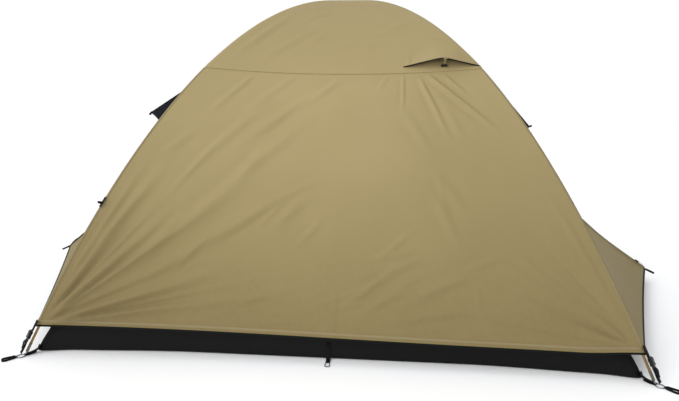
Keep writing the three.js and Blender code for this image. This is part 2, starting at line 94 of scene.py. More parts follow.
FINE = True


# ---- Camera, light and floor --------------------------------------------------
def add_camera():
    """A camera low in front of the near end, turned a little to the left."""
    place = Vector((0.1619, -2.7722, 0.9008))
    yaw, pitch, roll = 0.0732, -0.1754, 0.0103
    forward = Vector((
        -math.sin(yaw) * math.cos(pitch),
        math.cos(yaw) * math.cos(pitch),
        math.sin(pitch),
    ))
    right = Vector((math.cos(yaw), math.sin(yaw), 0))
    up = right.cross(forward)
    tilted_right = right * math.cos(roll) + up * math.sin(roll)
    tilted_up = up * math.cos(roll) - right * math.sin(roll)
    data = bpy.data.cameras.new("camera")
    data.sensor_width = 36
    data.lens = 27.04
    data.clip_end = 60
    camera = bpy.data.objects.new("camera", data)
    axes = Matrix((tilted_right, tilted_up, -forward)).transposed()
    camera.matrix_world = Matrix.Translation(place) @ axes.to_4x4()
    bpy.context.scene.collection.objects.link(camera)
    bpy.context.scene.camera = camera


def add_sun(name, source, spread, strength):
    """Soft light from a far source in a given direction."""
    data = bpy.data.lights.new(name, "SUN")
    data.energy = strength
    data.angle = math.radians(spread)
    light = bpy.data.objects.new(name, data)
    light.rotation_euler = Vector(source).to_track_quat("Z", "Y").to_euler()
    bpy.context.scene.collection.objects.link(light)


def add_spot(name, place, target, spread, power):
    """Wide soft lamp that brightens the middle of the near wall."""
    data = bpy.data.lights.new(name, "SPOT")
    data.energy = power
    data.spot_size = math.radians(spread)
    data.spot_blend = 1.0
    data.shadow_soft_size = 0.35
    light = bpy.data.objects.new(name, data)
    light.location = place
    aim = Vector(place) - Vector(target)
    light.rotation_euler = aim.to_track_quat("Z", "Y").to_euler()
    bpy.context.scene.collection.objects.link(light)


def add_studio():
    """Soft light from the left, from above and on the near wall, over a plain pale floor."""
    scene = bpy.context.scene
    scene.view_settings.view_transform = "Standard"
    scene.world = studio_world()
    add_sun("key", (-1.7, -1.3, 1.6), 40, 1.40)
    add_sun("top", (-0.2, 0.25, 1.0), 60, 0.88)
    add_spot("front", (-1.3, -3.6, 1.3), (-0.12, -0.85, 0.70), 32, 112)
    verts = [(-30, -30, 0), (30, -30, 0), (30, 30, 0), (-30, 30, 0)]
    floor = new_mesh("studio_floor", verts, [(0, 1, 2, 3)], material_floor())


def studio_world():
    """White near the horizon, softer grey overhead."""
    world = bpy.data.worlds.new("studio")
    world.use_nodes = True
    nodes, links = world.node_tree.nodes, world.node_tree.links
    background = nodes["Background"]
    coords = nodes.new("ShaderNodeTexCoord")
    parts = nodes.new("ShaderNodeSeparateXYZ")
    ramp = nodes.new("ShaderNodeValToRGB")
    ramp.color_ramp.elements[0].position = 0.24
    ramp.color_ramp.elements[0].color = (1, 1, 1, 1)
    ramp.color_ramp.elements[1].position = 0.55
    ramp.color_ramp.elements[1].color = (0.50, 0.51, 0.53, 1)
    links.new(coords.outputs["Generated"], parts.inputs[0])
    links.new(parts.outputs[2], ramp.inputs[0])
    links.new(ramp.outputs[0], background.inputs["Color"])
    background.inputs["Strength"].default_value = 1.0
    return world


# ---- Mesh building ----------------------------------------------------------
def new_mesh(name, verts, faces, material, uv=None):
    """A smooth object; uv holds one place in metres for each vertex."""
    mesh = bpy.data.meshes.new(name)
    mesh.from_pydata([tuple(v) for v in verts], [], [tuple(int(i) for i in f) for f in faces])
    mesh.update()
    if uv is not None:
        index = np.empty(len(mesh.loops), np.int32)
        mesh.loops.foreach_get("vertex_index", index)
        layer = mesh.uv_layers.new(name="cut")
        layer.data.foreach_set("uv", np.asarray(uv, np.float32)[index].ravel())
    mesh.polygons.foreach_set("use_smooth", [True] * len(mesh.polygons))
    mesh.materials.append(material)
    piece = bpy.data.objects.new(name, mesh)
    bpy.context.scene.collection.objects.link(piece)
    return piece


def grid_faces(nu, nv, wrap=False):
    """Quads of a grid of nu by nv points; wrap joins the last row to the first."""
    i, j = np.meshgrid(np.arange(nu if wrap else nu - 1), np.arange(nv - 1), indexing="ij")
    a = (i * nv + j).ravel()
    b = ((i + 1) % nu * nv + j).ravel()
    return np.stack([a, b, b + 1, a + 1], 1)


def cut_lengths(grid):
    """UV in metres: the arc length along each row and each column of a grid."""
    across = np.linalg.norm(np.diff(grid, axis=0), axis=2)
    along = np.linalg.norm(np.diff(grid, axis=1), axis=2)
    u = np.concatenate([np.zeros((1, grid.shape[1])), np.cumsum(across, 0)])
    u -= u[len(u) // 2]
    v = np.concatenate([np.zeros((grid.shape[0], 1)), np.cumsum(along, 1)], 1)
    return u, v


def outward_faces(verts, faces, centre):
    """The quads, turned over where they look towards the centre."""
    p = np.asarray(verts)[np.asarray(faces)]
    normal = np.cross(p[:, 1] - p[:, 0], p[:, 3] - p[:, 0])
    if (normal * (p[:, 0] - centre)).sum() < 0:
        return faces[:, ::-1]
    return faces


def attach(piece, body):
    """Rides one body; given a tuple of two bodies and two points, the piece is left in place, on neither
    body.
    """
    if isinstance(body, tuple):
        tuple(body[2])
        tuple(body[3])
        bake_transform(piece)
    else:
        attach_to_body(piece, body)


def thicken(piece, thickness):
    """Gives the sheet its thickness on the inner side."""
    shell = piece.modifiers.new("thickness", "SOLIDIFY")
    shell.thickness = thickness
    shell.offset = -1.0


def cloth(name, grids, material, body, nodes=(), wrap=False, centre=(0, 0, 0.5), thickness=CLOTH):
    """One sheet of cloth from one or more grids of points that share their joined edges."""
    verts, faces, uvs, start = [], [], [], 0
    wide = long = 0.0
    for grid in grids:
        nu, nv = grid.shape[:2]
        u, v = cut_lengths(grid)
        wide = max(wide, np.ptp(u, axis=0).max())
        long = max(long, v.max())
        verts.append(grid.reshape(-1, 3))
        uvs.append(np.stack([u.ravel(), v.ravel()], 1))
        faces.append(grid_faces(nu, nv, wrap) + start)
        start += nu * nv
    verts, uvs, faces = np.concatenate(verts), np.concatenate(uvs), np.concatenate(faces)
    faces = outward_faces(verts, faces, np.array(centre))
    piece = new_mesh(name, verts, faces, material, uvs)
    weld(piece)
    thicken(piece, thickness)
    attach(piece, body)
    if nodes:
        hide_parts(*nodes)
    return piece


def weld(piece):
    """Joins points that meet and drops faces and points left without area."""
    work = bmesh.new()
    work.from_mesh(piece.data)
    bmesh.ops.remove_doubles(work, verts=work.verts, dist=1e-5)
    bmesh.ops.dissolve_degenerate(work, edges=work.edges, dist=1e-6)
    loose = [v for v in work.verts if not v.link_faces]
    bmesh.ops.delete(work, geom=loose, context="VERTS")
    work.to_mesh(piece.data)
    work.free()


def unit(v):
    return v / np.maximum(np.linalg.norm(v, axis=-1, keepdims=True), 1e-12)


def bar(path, side, lift, profile, closed=False):
    """A closed bar: the 2-D profile, in metres, carried along a path in the axes side and lift."""
    path = np.asarray(path, float)
    side = np.broadcast_to(side, path.shape)
    lift = np.broadcast_to(lift, path.shape)
    profile = np.asarray(profile, float)
    across, above = profile[None, :, :1], profile[None, :, 1:]
    m, n = len(profile), len(path)
    verts = path[:, None] + side[:, None] * across + lift[:, None] * above
    steps = np.linalg.norm(np.diff(path, axis=0), axis=1)
    along = np.concatenate([[0], np.cumsum(steps)])
    girth = np.concatenate([[0], np.cumsum(np.linalg.norm(np.diff(profile, axis=0), axis=1))])
    uv = np.stack(np.meshgrid(along, girth, indexing="ij"), -1).reshape(-1, 2)
    faces = []
    for i in range(n if closed else n - 1):
        for j in range(m):
            a, b = i * m + j, (i + 1) % n * m + j
            faces.append((a, b, (i + 1) % n * m + (j + 1) % m, i * m + (j + 1) % m))
    if not closed:
        faces.append(tuple(range(m))[::-1])
        faces.append(tuple((n - 1) * m + j for j in range(m)))
    return verts.reshape(-1, 3), faces, uv


def slab(outline, low, high, place, ease=0.0008):
    """A flat part with eased edges: an outline (a, b) between two heights c; place(a, b, c) sets it."""
    outline = np.asarray(outline, float)
    middle = outline.mean(0)
    reach = np.linalg.norm(outline - middle, axis=1, keepdims=True)
    small = middle + (outline - middle) * (1 - ease / np.maximum(reach, 1e-6))
    rings = [(small, low), (outline, low + ease), (outline, high - ease), (small, high)]
    verts = np.concatenate([place(r[:, 0], r[:, 1], np.full(len(r), c)) for r, c in rings])
    m = len(outline)
    faces = [tuple(range(m))[::-1], tuple(3 * m + j for j in range(m))]
    for k in range(3):
        for j in range(m):
            faces.append((k * m + j, k * m + (j + 1) % m, (k + 1) * m + (j + 1) % m, (k + 1) * m + j))
    return verts, faces, np.tile(outline, (4, 1))


def build(name, parts, material, body, nodes=(), squash=None):
    """One object from closed parts, each a tuple of points, faces and uv."""
    verts, faces, uvs, start = [], [], [], 0
    for v, f, uv in parts:
        verts.append(v)
        uvs.append(uv)
        faces.extend(tuple(i + start for i in face) for face in f)
        start += len(v)
    piece = new_mesh(name, np.concatenate(verts), faces, material, np.concatenate(uvs))
    face_out(piece)
    attach(piece, body)
    if squash:
        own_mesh(piece)
    if nodes:
        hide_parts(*nodes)
    return piece


def sweep(name, path, side, lift, profile, material, body, closed=False, nodes=(), squash=None):
    """One object that is a single bar."""
    return build(name, [bar(path, side, lift, profile, closed)], material, body, nodes, squash)


def face_out(piece):
    """Turns every closed part's faces outwards."""
    work = bmesh.new()
    work.from_mesh(piece.data)
    bmesh.ops.recalc_face_normals(work, faces=work.faces)
    work.to_mesh(piece.data)
    work.free()


def round_profile(radius, count=12):
    turn = np.arange(count) * 2 * math.pi / count
    return np.stack([radius * np.cos(turn), radius * np.sin(turn)], 1)


def flat_profile(low, high, thick, base=0.0):
    """A webbing or tape section with eased edges, from low to high across."""
    ease = min(thick / 2, (high - low) / 4)
    return np.array([
        (low, base + ease * 0.6), (low + ease, base), (high - ease, base), (high, base + ease * 0.6),
        (high, base + thick - ease * 0.6), (high - ease, base + thick),
        (low + ease, base + thick), (low, base + thick - ease * 0.6),
    ])


def frames_along(path, near_up, closed=False):
    """Tangent, side and lift axes of a path whose lift stays near a given direction."""
    if closed:
        tangent = unit(np.roll(path, -1, axis=0) - np.roll(path, 1, axis=0))
    else:
        tangent = unit(np.gradient(path, axis=0))
    side = unit(np.cross(tangent, np.broadcast_to(near_up, tangent.shape)))
    return tangent, side, unit(np.cross(side, tangent))


def perpendicular(path, side):
    """The lift axis of a path whose side axis is given."""
    return unit(np.cross(unit(np.gradient(path, axis=0)), np.broadcast_to(side, path.shape)))


def round_bar(path, radius, near_up=UP, count=12, closed=False):
    path = np.asarray(path, float)
    _, side, lift = frames_along(path, near_up, closed)
    return bar(path, side, lift, round_profile(radius, count), closed)


def tube(name, path, radius, material, body, near_up=UP, count=12, nodes=()):
    return build(name, [round_bar(path, radius, near_up, count)], material, body, nodes)


def turn_z(points, angle):
    """Points turned about the middle of the tent."""
    c, s = math.cos(angle), math.sin(angle)
    return np.asarray(points, float) @ np.array([[c, s, 0], [-s, c, 0], [0, 0, 1.0]])


def both_halves(half):
    """Outline from its right half, whose points run up from the open foot."""
    return [(-x, y) for x, y in half] + half[::-1]


def mirror(points, sign):
    """Points of the right side, carried to the left where sign is -1."""
    return np.asarray(points, float) * np.array([sign, 1, 1])


def along_leg(reach, z, angle):
    """Points over a diagonal of the tent, reach metres out from its middle."""
    return turn_z(np.stack([reach, 0 * z, z], -1), angle)


def across_leg(angle):
    return turn_z([ALONG_Y], angle)[0]


def smooth(low, high, x):
    """0 below low, 1 above high, and an even ramp between."""
    t = np.clip((x - low) / (high - low), 0, 1)
    return t * t * (3 - 2 * t)


class Nodes:
    """Short calls for a material's node tree."""

    def __init__(self, name, slot):
        self.material = bpy.data.materials.new(name)
        self.material.use_nodes = True
        self.tree = self.material.node_tree
        self.shader = self.tree.nodes["Principled BSDF"]

    def add(self, kind, **values):
        node = self.tree.nodes.new(kind)
        for key, value in values.items():
            if key in node.inputs:
                node.inputs[key].default_value = value
            else:
                setattr(node, key, value)
        return node

    def link(self, out, socket):
        self.tree.links.new(out, socket)

    def set(self, **values):
        for key, value in values.items():
            self.shader.inputs[key.replace("_", " ")].default_value = value

    def math(self, operation, a, b=None):
        node = self.add("ShaderNodeMath", operation=operation)
        for i, value in enumerate((a, b)):
            if value is None:
                continue
            if isinstance(value, (int, float)):
                node.inputs[i].default_value = value
            else:
                self.link(value, node.inputs[i])
        return node.outputs[0]

    def noise(self, vector, scale, detail=3.0, roughness=0.55):
        node = self.add("ShaderNodeTexNoise", Scale=scale, Detail=detail, Roughness=roughness)
        self.link(vector, node.inputs["Vector"])
        return node.outputs["Fac"]

    def mix(self, factor, a, b):
        node = self.add("ShaderNodeMix", data_type="RGBA")
        self.link(factor, node.inputs[0])
        for index, value in ((6, a), (7, b)):
            if isinstance(value, tuple):
                node.inputs[index].default_value = (*value, 1)
            else:
                self.link(value, node.inputs[index])
        return node.outputs[2]

    def bump(self, height, distance, strength=1.0):
        node = self.add("ShaderNodeBump", Strength=strength, Distance=distance)
        self.link(height, node.inputs["Height"])
        self.link(node.outputs["Normal"], self.shader.inputs["Normal"])
        return node

    def coords(self, name):
        return self.add("ShaderNodeTexCoord").outputs[name]


def weave_height(n, pitch):
    """Over and under threads of a plain weave, from the cut's own UV in metres."""
    parts = n.add("ShaderNodeSeparateXYZ")
    n.link(n.coords("UV"), parts.inputs[0])
    waves = [n.math("SINE", n.math("MULTIPLY", parts.outputs[k], 2 * math.pi / pitch)) for k in (0, 1)]
    return n.math("MULTIPLY", waves[0], waves[1])


def fabric(name, slot, colour, shade, pitch, rough, sheen, translucent=0.0, low=None, shine=0.3):
    """Woven cloth with slow changes of tone, and painted shade that darkens it towards the ground where low
    is given.
    """
    n = Nodes(name, slot)
    place = n.coords("Object")
    large = n.noise(place, 2.2, 4.0)
    fine = n.noise(place, 45.0, 3.0)
    tone = n.mix(large, shade, colour)
    # Painted shade: from about 1.15 m down the colour fades to the darker low colour, standing in for the
    # weaker light on the lower walls.
    if low:
        parts = n.add("ShaderNodeSeparateXYZ")
        n.link(place, parts.inputs[0])
        height = n.math("ADD", parts.outputs[2], n.math("MULTIPLY", large, 0.3))
        height = n.math("MINIMUM", n.math("MAXIMUM", n.math("SUBTRACT", height, 0.15), 0.0), 1.0)
        tone = n.mix(height, low, tone)
    fibre = n.mix(n.math("MULTIPLY", fine, 0.30), tone, tuple(c * 0.86 for c in colour))
    n.link(fibre, n.shader.inputs["Base Color"])
    threads = n.math("MULTIPLY", weave_height(n, pitch), 0.5)
    height = n.math("ADD", threads, n.math("MULTIPLY", fine, 2.0))
    n.bump(height, 0.00012, 0.5)
    spread = n.math("MULTIPLY", n.noise(place, 9.0, 2.0), 0.14)
    n.link(n.math("ADD", spread, rough - 0.07), n.shader.inputs["Roughness"])
    n.set(Sheen_Weight=sheen, Sheen_Roughness=0.45, Specular_IOR_Level=shine)
    if translucent:
        glow = n.add("ShaderNodeBsdfTranslucent")
        n.link(fibre, glow.inputs["Color"])
        both = n.add("ShaderNodeMixShader", Fac=translucent)
        out = n.tree.nodes["Material Output"]
        n.link(n.shader.outputs[0], both.inputs[1])
        n.link(glow.outputs[0], both.inputs[2])
        n.link(both.outputs[0], out.inputs["Surface"])
    return n.material


def stitched(name, slot, colour, thread, rows, pitch=0.0035, rough=0.75, lift=0.0012):
    """Tape or webbing: ribs across, and rows of stitches at the given places on its girth."""
    n = Nodes(name, slot)
    parts = n.add("ShaderNodeSeparateXYZ")
    n.link(n.coords("UV"), parts.inputs[0])
    along, girth = parts.outputs[0], parts.outputs[1]
    ribs = n.math("SINE", n.math("MULTIPLY", along, 2 * math.pi / 0.0012))
    cords = n.math("SINE", n.math("MULTIPLY", girth, 2 * math.pi / 0.0016))
    dash = n.math("LESS_THAN", n.math("FRACT", n.math("DIVIDE", along, pitch)), 0.68)
    line = None
    for row in rows:
        near = n.math("LESS_THAN", n.math("ABSOLUTE", n.math("SUBTRACT", girth, row)), 0.00055)
        line = near if line is None else n.math("MAXIMUM", line, near)
    worn = n.noise(n.coords("Object"), 30.0, 4.0)
    base = n.mix(worn, tuple(c * 0.9 for c in colour), tuple(c * 1.1 + lift for c in colour))
    if line is not None:
        stitch = n.math("MULTIPLY", dash, line)
        base = n.mix(stitch, base, thread)
        height = n.math("ADD", n.math("MULTIPLY", stitch, 2.0), n.math("MULTIPLY", ribs, 0.25))
    else:
        height = n.math("MULTIPLY", n.math("ADD", ribs, cords), 0.4)
    n.link(base, n.shader.inputs["Base Color"])
    n.link(n.math("ADD", n.math("MULTIPLY", worn, 0.15), rough - 0.07), n.shader.inputs["Roughness"])
    n.bump(height, 0.0002, 0.7)
    n.set(Sheen_Weight=0.0, Specular_IOR_Level=0.15 if max(colour) < 0.05 else 0.3)
    return n.material


def hard(name, slot, colour, rough, metal, scratch, grain=90.0, shine=0.5):
    """Moulded plastic or metal with fine marks, worn where the grain is strong."""
    n = Nodes(name, slot)
    place = n.coords("Object")
    marks = n.noise(place, grain, 5.0, 0.65)
    n.link(n.mix(marks, colour, tuple(c * scratch for c in colour)), n.shader.inputs["Base Color"])
    n.link(n.math("ADD", n.math("MULTIPLY", marks, 0.22), rough - 0.1), n.shader.inputs["Roughness"])
    n.bump(marks, 0.00008, 0.35)
    n.set(Metallic=metal, Specular_IOR_Level=shine)
    return n.material


def netting(name, slot):
    """Fine black mesh: threads that hide, holes that show what is behind them."""
    n = Nodes(name, slot)
    tone = n.noise(n.coords("Object"), 14.0)
    n.link(n.mix(tone, (0.012, 0.013, 0.015), (0.03, 0.032, 0.035)), n.shader.inputs["Base Color"])
    n.bump(weave_height(n, 0.0016), 0.0002, 0.8)
    n.set(Roughness=0.8, Alpha=0.72)
    return n.material


def material_floor():
    n = Nodes("studio_floor", "fly_fabric")
    tone = n.noise(n.coords("Object"), 0.4)
    n.link(n.mix(tone, (0.92, 0.92, 0.92), (0.94, 0.94, 0.94)), n.shader.inputs["Base Color"])
    n.set(Roughness=0.9, Specular_IOR_Level=0.1, Emission_Color=(1, 1, 1, 1), Emission_Strength=0.08)
    return n.material


# The third colour here is painted shade for the lower fly, not a colour of the cloth.
TAN, TAN_SHADE, TAN_PAINTED_SHADE_LOW = (0.375, 0.298, 0.146), (0.338, 0.265, 0.127), (0.206, 0.158, 0.066)
FLY = fabric("fly", "fly_fabric", TAN, TAN_SHADE, 0.0007, 0.66, 0.0, 0.06, TAN_PAINTED_SHADE_LOW, 0.12)
FLY_SEAM = stitched("fly_seam", "fly_fabric", (0.250, 0.200, 0.098), (0.15, 0.120, 0.060), (0.004, 0.009))
INNER = fabric("inner", "inner_fabric", (0.52, 0.49, 0.41), (0.47, 0.44, 0.37), 0.0008, 0.7, 0.1, 0.2)
INNER_SEAM = stitched("inner_seam", "inner_fabric", (0.36, 0.34, 0.28), (0.22, 0.21, 0.18), (0.004,))
TUB = fabric("tub", "floor_fabric", (0.0040, 0.0043, 0.0038), (0.0028, 0.0030, 0.0027), 0.0006, 0.60, 0.0,
             shine=0.14)
GUSSET = fabric("gusset", "mesh_fabric", (0.012, 0.015, 0.020), (0.008, 0.010, 0.014), 0.0012, 0.75, 0.02,
                shine=0.12)
NET = netting("net", "mesh_fabric")
BINDING = stitched("binding", "webbing", (0.0035, 0.0050, 0.0035), (0.012, 0.015, 0.011), (0.0105,))
WEBBING = stitched("webbing", "webbing", (0.0035, 0.0037, 0.0035), (0.02, 0.02, 0.02), ())
PLASTIC = hard("plastic", "black_plastic", (0.0045, 0.0045, 0.0048), 0.40, 0.0, 1.8, 220.0, 0.3)
GOLD = hard("gold_pole", "anodised_pole", (0.36, 0.215, 0.060), 0.32, 0.85, 0.82)
STEEL = hard("steel", "steel", (0.30, 0.31, 0.32), 0.32, 1.0, 0.85)
ALLOY = hard("ferrule", "anodised_pole", (0.20, 0.17, 0.12), 0.36, 0.9, 0.85)


# ---- Surfaces of the fly --------------------------------------------------------
def arch_half(z, half=FOOT, top=APEX):
    """Half width of the arch at a height."""
    rise = np.maximum(0, 1 - np.asarray(z, float) / top)
    straight = 1 - FLATTEN
    square = (np.sqrt(straight ** 2 + 4 * FLATTEN * rise) - straight) / (2 * FLATTEN)
    return half * np.sqrt(square)


def arch_height(r, top=APEX):
    """Height of the arch at a share r of its half width."""
    return top * (1 - (1 - FLATTEN) * r ** 2 - FLATTEN * r ** 4)


def wall_normal(z):
    """Outward normal of the near wall y = -half(z)."""
    slope = (arch_half(z + 5e-4) - arch_half(z - 5e-4)) / 1e-3
    slope = np.maximum(slope, -60)
    return unit(np.stack([np.zeros_like(slope), -np.ones_like(slope), -slope], -1))


def ridge_point(s, side="right"):
    """The vestibule ridge: slack on the right, drawn almost straight on the left."""
    s = np.asarray(s, float)
    run = RIDGE_RUN * s
    z = RIDGE_TOP - RIDGE_SLOPE * run + RIDGE_CURVE * run ** 2
    if side == "left":
        z = z + 0.023 * s + 0.055 * np.maximum(np.sin(math.pi * s), 0) ** 0.8
    else:
        z = z + 0.014 * np.exp(-((run - 0.42) / 0.10) ** 2) - 0.008 * s ** 6
    return np.stack([arch_half(RIDGE_TOP) + run, np.zeros_like(run), z], -1)


class Folds:
    """Tension folds on a panel, each a soft ridge between two points of its plane."""

    def __init__(self, seed, strength=1.0):
        self.rows = []
        self.strength = strength
        self.random = np.random.default_rng(seed)

    def line(self, start, end, width, height, spread=1.0):
        """One fold; spread 1 narrows it to its start, 0 makes it a short wrinkle."""
        self.rows.append((np.array(start, float), np.array(end, float), width, height, spread))
        return self

    def lines(self, *rows):
        for row in rows:
            self.line(*row)
        return self

    def fan(self, origin, angles, length, width, height):
        """Folds out of one point, in turn raised and sunk."""
        for k, angle in enumerate(angles):
            jitter = self.random.uniform(-1, 1, 3)
            turn = math.radians(angle + 2.0 * jitter[0])
            reach = length * (1 + 0.25 * jitter[1])
            end = (origin[0] + reach * math.cos(turn), origin[1] + reach * math.sin(turn))
            self.line(origin, end, width * (1 + 0.3 * jitter[2]), height * (1 if k % 2 == 0 else -0.7))
        return self

    def scatter(self, count, low, high, angle, length, width, height):
        """Short wrinkles about one direction, in the box from low to high."""
        for _ in range(count):
            x, z = self.random.uniform(low, high)
            turn = math.radians(angle + self.random.normal(0, 9))
            reach = length * self.random.uniform(0.5, 1.2)
            step = np.array([math.cos(turn), math.sin(turn)]) * reach / 2
            size = self.random.uniform(0.5, 1.1)
            start, end = (x - step[0], z - step[1]), (x + step[0], z + step[1])
            self.line(start, end, width * size, height * size, 0.0)
        return self

    def height(self, x, z):
        """How far the folded cloth stands off its smooth surface."""
        total = np.zeros(np.broadcast(x, z).shape)
        for start, end, width, height, spread in self.rows:
            along = end - start
            length = np.hypot(*along)
            along = along / length
            t = ((x - start[0]) * along[0] + (z - start[1]) * along[1]) / length
            s = (z - start[1]) * along[0] - (x - start[0]) * along[1]
            w = width * (1 - spread * 0.75 + spread * 0.75 * np.clip(t, 0, 1))
            rise = smooth(0, 0.18, t) * (1 - smooth(0.45, 1.0, t))
            if spread == 0:
                rise = smooth(0, 0.5, t) * (1 - smooth(0.5, 1.0, t))
            core = np.exp(-(s / w) ** 2) - 0.5 * np.exp(-(s / (2 * w)) ** 2)
            total += self.strength * height * rise * core
        return total


def near_end_folds():
    """Rays from both feet, pulls below the seam and the vent, drapes on the hem, small wrinkles."""
    left, right = PANEL_FEET
    folds = Folds(11, 1.55)
    folds.lines(
        (left, (-0.52, 0.60), 0.028, 0.015),
        (left, (-0.30, 0.34), 0.027, 0.014),
        (left, (-0.60, 0.80), 0.028, 0.008),
        (left, (-0.10, 0.24), 0.025, 0.008),
        ((-0.98, 0.30), (-0.62, 0.72), 0.022, 0.006, 0.3),
        (left, (-0.42, 0.56), 0.012, 0.0065),
        (left, (-0.20, 0.30), 0.011, 0.006),
        (left, (-0.62, 0.60), 0.010, 0.005),
        (left, (-0.34, 0.22), 0.010, 0.005),
        (right, (0.70, 0.48), 0.011, 0.005),
        (right, (0.60, 0.26), 0.010, 0.005),
    )
    folds.fan(left, (63, 52, 36, 22, 8), 0.75, 0.019, 0.0075)
    folds.lines(
        (right, (0.62, 0.36), 0.028, 0.008),
        (right, (0.55, 0.23), 0.025, 0.008),
        (right, (0.80, 0.52), 0.026, 0.0045),
    )
    folds.fan(right, (118, 133, 146, 158, 170), 0.60, 0.019, 0.0055)
    below_seam = (
        ((0.04, 1.045), (-0.50, 0.70), 0.026, 0.0075, 0.6),
        ((-0.02, 1.03), (-0.36, 0.74), 0.018, -0.004, 0.4),
        ((-0.36, 1.045), (-0.56, 0.86), 0.018, 0.006, 0.5),
        ((-0.18, 1.045), (-0.44, 0.84), 0.020, 0.004, 0.5),
    )
    below_vent = (
        ((0.35, 1.052), (0.66, 0.80), 0.012, 0.014, 0.35),
        ((0.32, 1.045), (0.46, 0.76), 0.013, 0.0075, 0.4),
        ((0.42, 1.05), (0.55, 0.93), 0.012, 0.0065, 0.4),
        ((0.262, 1.05), (0.257, 0.88), 0.008, 0.0055, 0.3),
        ((0.20, 1.045), (0.15, 0.97), 0.010, 0.003, 0.3),
    )
    above_hem = (
        ((0.23, 0.21), (0.56, 0.34), 0.019, 0.008, 0.0),
        ((0.22, 0.165), (0.58, 0.21), 0.017, 0.0072, 0.0),
        ((0.24, 0.125), (0.56, 0.17), 0.015, 0.004, 0.0),
        ((0.10, 0.27), (0.42, 0.36), 0.020, -0.004, 0.0),
        ((0.53, 0.29), (0.535, 0.19), 0.008, 0.003, 0.0),
        ((0.02, 0.10), (0.02, 0.30), 0.007, 0.0035, 0.6),
        ((-0.30, 0.15), (-0.02, 0.14), 0.012, 0.003, 0.0),
    )
    across_middle = (
        ((-0.98, 0.18), (-0.18, 0.74), 0.030, 0.012, 0.0),
        ((-0.82, 0.20), (-0.12, 0.63), 0.024, 0.010, 0.0),
        ((-0.58, 0.46), (-0.04, 0.93), 0.024, 0.008, 0.0),
        ((-0.64, 0.60), (-0.26, 0.96), 0.020, 0.007, 0.0),
    )
    folds.lines(*below_seam, *below_vent, *above_hem, *across_middle)
    folds.scatter(10, (-0.65, 0.35), (0.05, 0.85), 40, 0.38, 0.020, 0.0065)
    folds.scatter(8, (0.05, 0.15), (0.78, 0.42), 27, 0.34, 0.015, 0.0055)
    folds.scatter(7, (-0.40, 0.15), (0.35, 0.30), 12, 0.28, 0.013, 0.0042)
    folds.scatter(5, (0.20, 0.50), (0.60, 0.90), 120, 0.28, 0.020, 0.0042)
    return folds


def far_end_folds():
    left, right = PANEL_FEET
    folds = Folds(23)
    folds.fan(left, (62, 50, 39, 28, 17, 8), 0.85, 0.028, 0.007)
    folds.fan(right, (120, 131, 143, 154, 165, 173), 0.75, 0.026, 0.006)
    folds.lines(
        ((0.10, 1.045), (-0.40, 0.74), 0.024, 0.006, 0.6),
        ((0.36, 1.05), (0.62, 0.82), 0.018, 0.006, 0.5),
        ((-0.30, 1.045), (-0.52, 0.86), 0.020, 0.005, 0.5),
    )
    folds.scatter(6, (-0.5, 0.13), (0.7, 0.38), 12, 0.35, 0.018, 0.004)
    return folds


def seam_shift(u):
    """The roof seam dips between the legs: height above the level seam at u = -1..1."""
    return SEAM_MIDDLE + SEAM_DIP * np.asarray(u, float) ** 2 - SEAM


def hem_drop(u, turn):
    """The near hem hangs a little lower towards the right leg."""
    share = smooth(-0.9, 0.5, u) * (1 - 0.55 * smooth(0.80, 1.0, u))
    return 0.018 * share * (turn == 0)


def end_point(u, z, folds, turn=0, lift=0.0):
    """A place on an end panel: u runs from leg to leg, z from the hem to the roof seam."""
    share = (z - HEM) / (SEAM - HEM)
    mask = smooth(1.0, 0.93, np.abs(u)) * smooth(SEAM + 0.002, SEAM - 0.03, z)
    hang = hem_drop(u, turn) * np.clip(1 - share / 0.45, 0, 1) ** 2
    z = z + seam_shift(u) * np.maximum(share, 0) ** 3 - hang
    half = arch_half(z)
    sag = (END_SAG + (SEAM_SAG - END_SAG) * share) * (1 - u ** 2)
    rise = folds.height(u * half, z) * mask + lift
    points = np.stack([u * half, -half + sag, np.broadcast_to(z, half.shape)], -1)
    return turn_z(points + wall_normal(z) * rise[..., None], turn * math.pi / 2)


def cap_folds():
    """Faint wrinkles on the four sides of the roof cap, the near side first."""
    near = Folds(5, 1.7).lines(
        ((-0.36, 1.29), (0.02, 1.16), 0.020, 0.005, 0.4),
        ((-0.30, 1.345), (0.16, 1.33), 0.014, 0.0035, 0.0),
        ((-0.32, 1.30), (0.06, 1.36), 0.014, 0.003, 0.0),
        ((0.27, 1.06), (0.29, 1.17), 0.012, 0.003, 0.2),
        ((0.22, 1.09), (0.16, 1.15), 0.010, 0.003, 0.2),
        ((0.60, 1.09), (0.44, 1.26), 0.014, 0.003, 0.3),
        ((-0.50, 1.10), (-0.20, 1.37), 0.016, 0.007, 0.0),
        ((-0.40, 1.08), (-0.08, 1.28), 0.014, 0.006, 0.0),
        ((0.10, 1.20), (0.36, 1.33), 0.013, 0.005, 0.0),
    )
    near.scatter(9, (-0.42, 1.11), (0.40, 1.36), 32, 0.22, 0.013, 0.0042)
    others = [
        Folds(seed).scatter(7, (-0.3, 1.09), (0.3, 1.33), angle, 0.34, 0.020, 0.004)
        for seed, angle in ((6, 22), (7, -20), (8, 22))
    ]
    return [near, *others]


CAP_FOLDS = cap_folds()


def cap_point(u, z, turn, lift=0.0):
    """A place on one side of the roof cap: u runs from leg to leg, z from the seam to the apex."""
    below = (APEX - z) / (APEX - SEAM)
    mask = smooth(1.0, 0.85, np.abs(u)) * smooth(SEAM, SEAM + 0.03, z)
    z = z + seam_shift(u) * np.minimum(below, 1.05)
    half = arch_half(z)
    sag = SEAM_SAG * (1 - u ** 2) * below
    rise = CAP_FOLDS[turn].height(u * half, z) * mask + lift
    points = np.stack([u * half, -half + sag, np.broadcast_to(z, half.shape)], -1)
    return turn_z(points + wall_normal(z) * rise[..., None], turn * math.pi / 2)


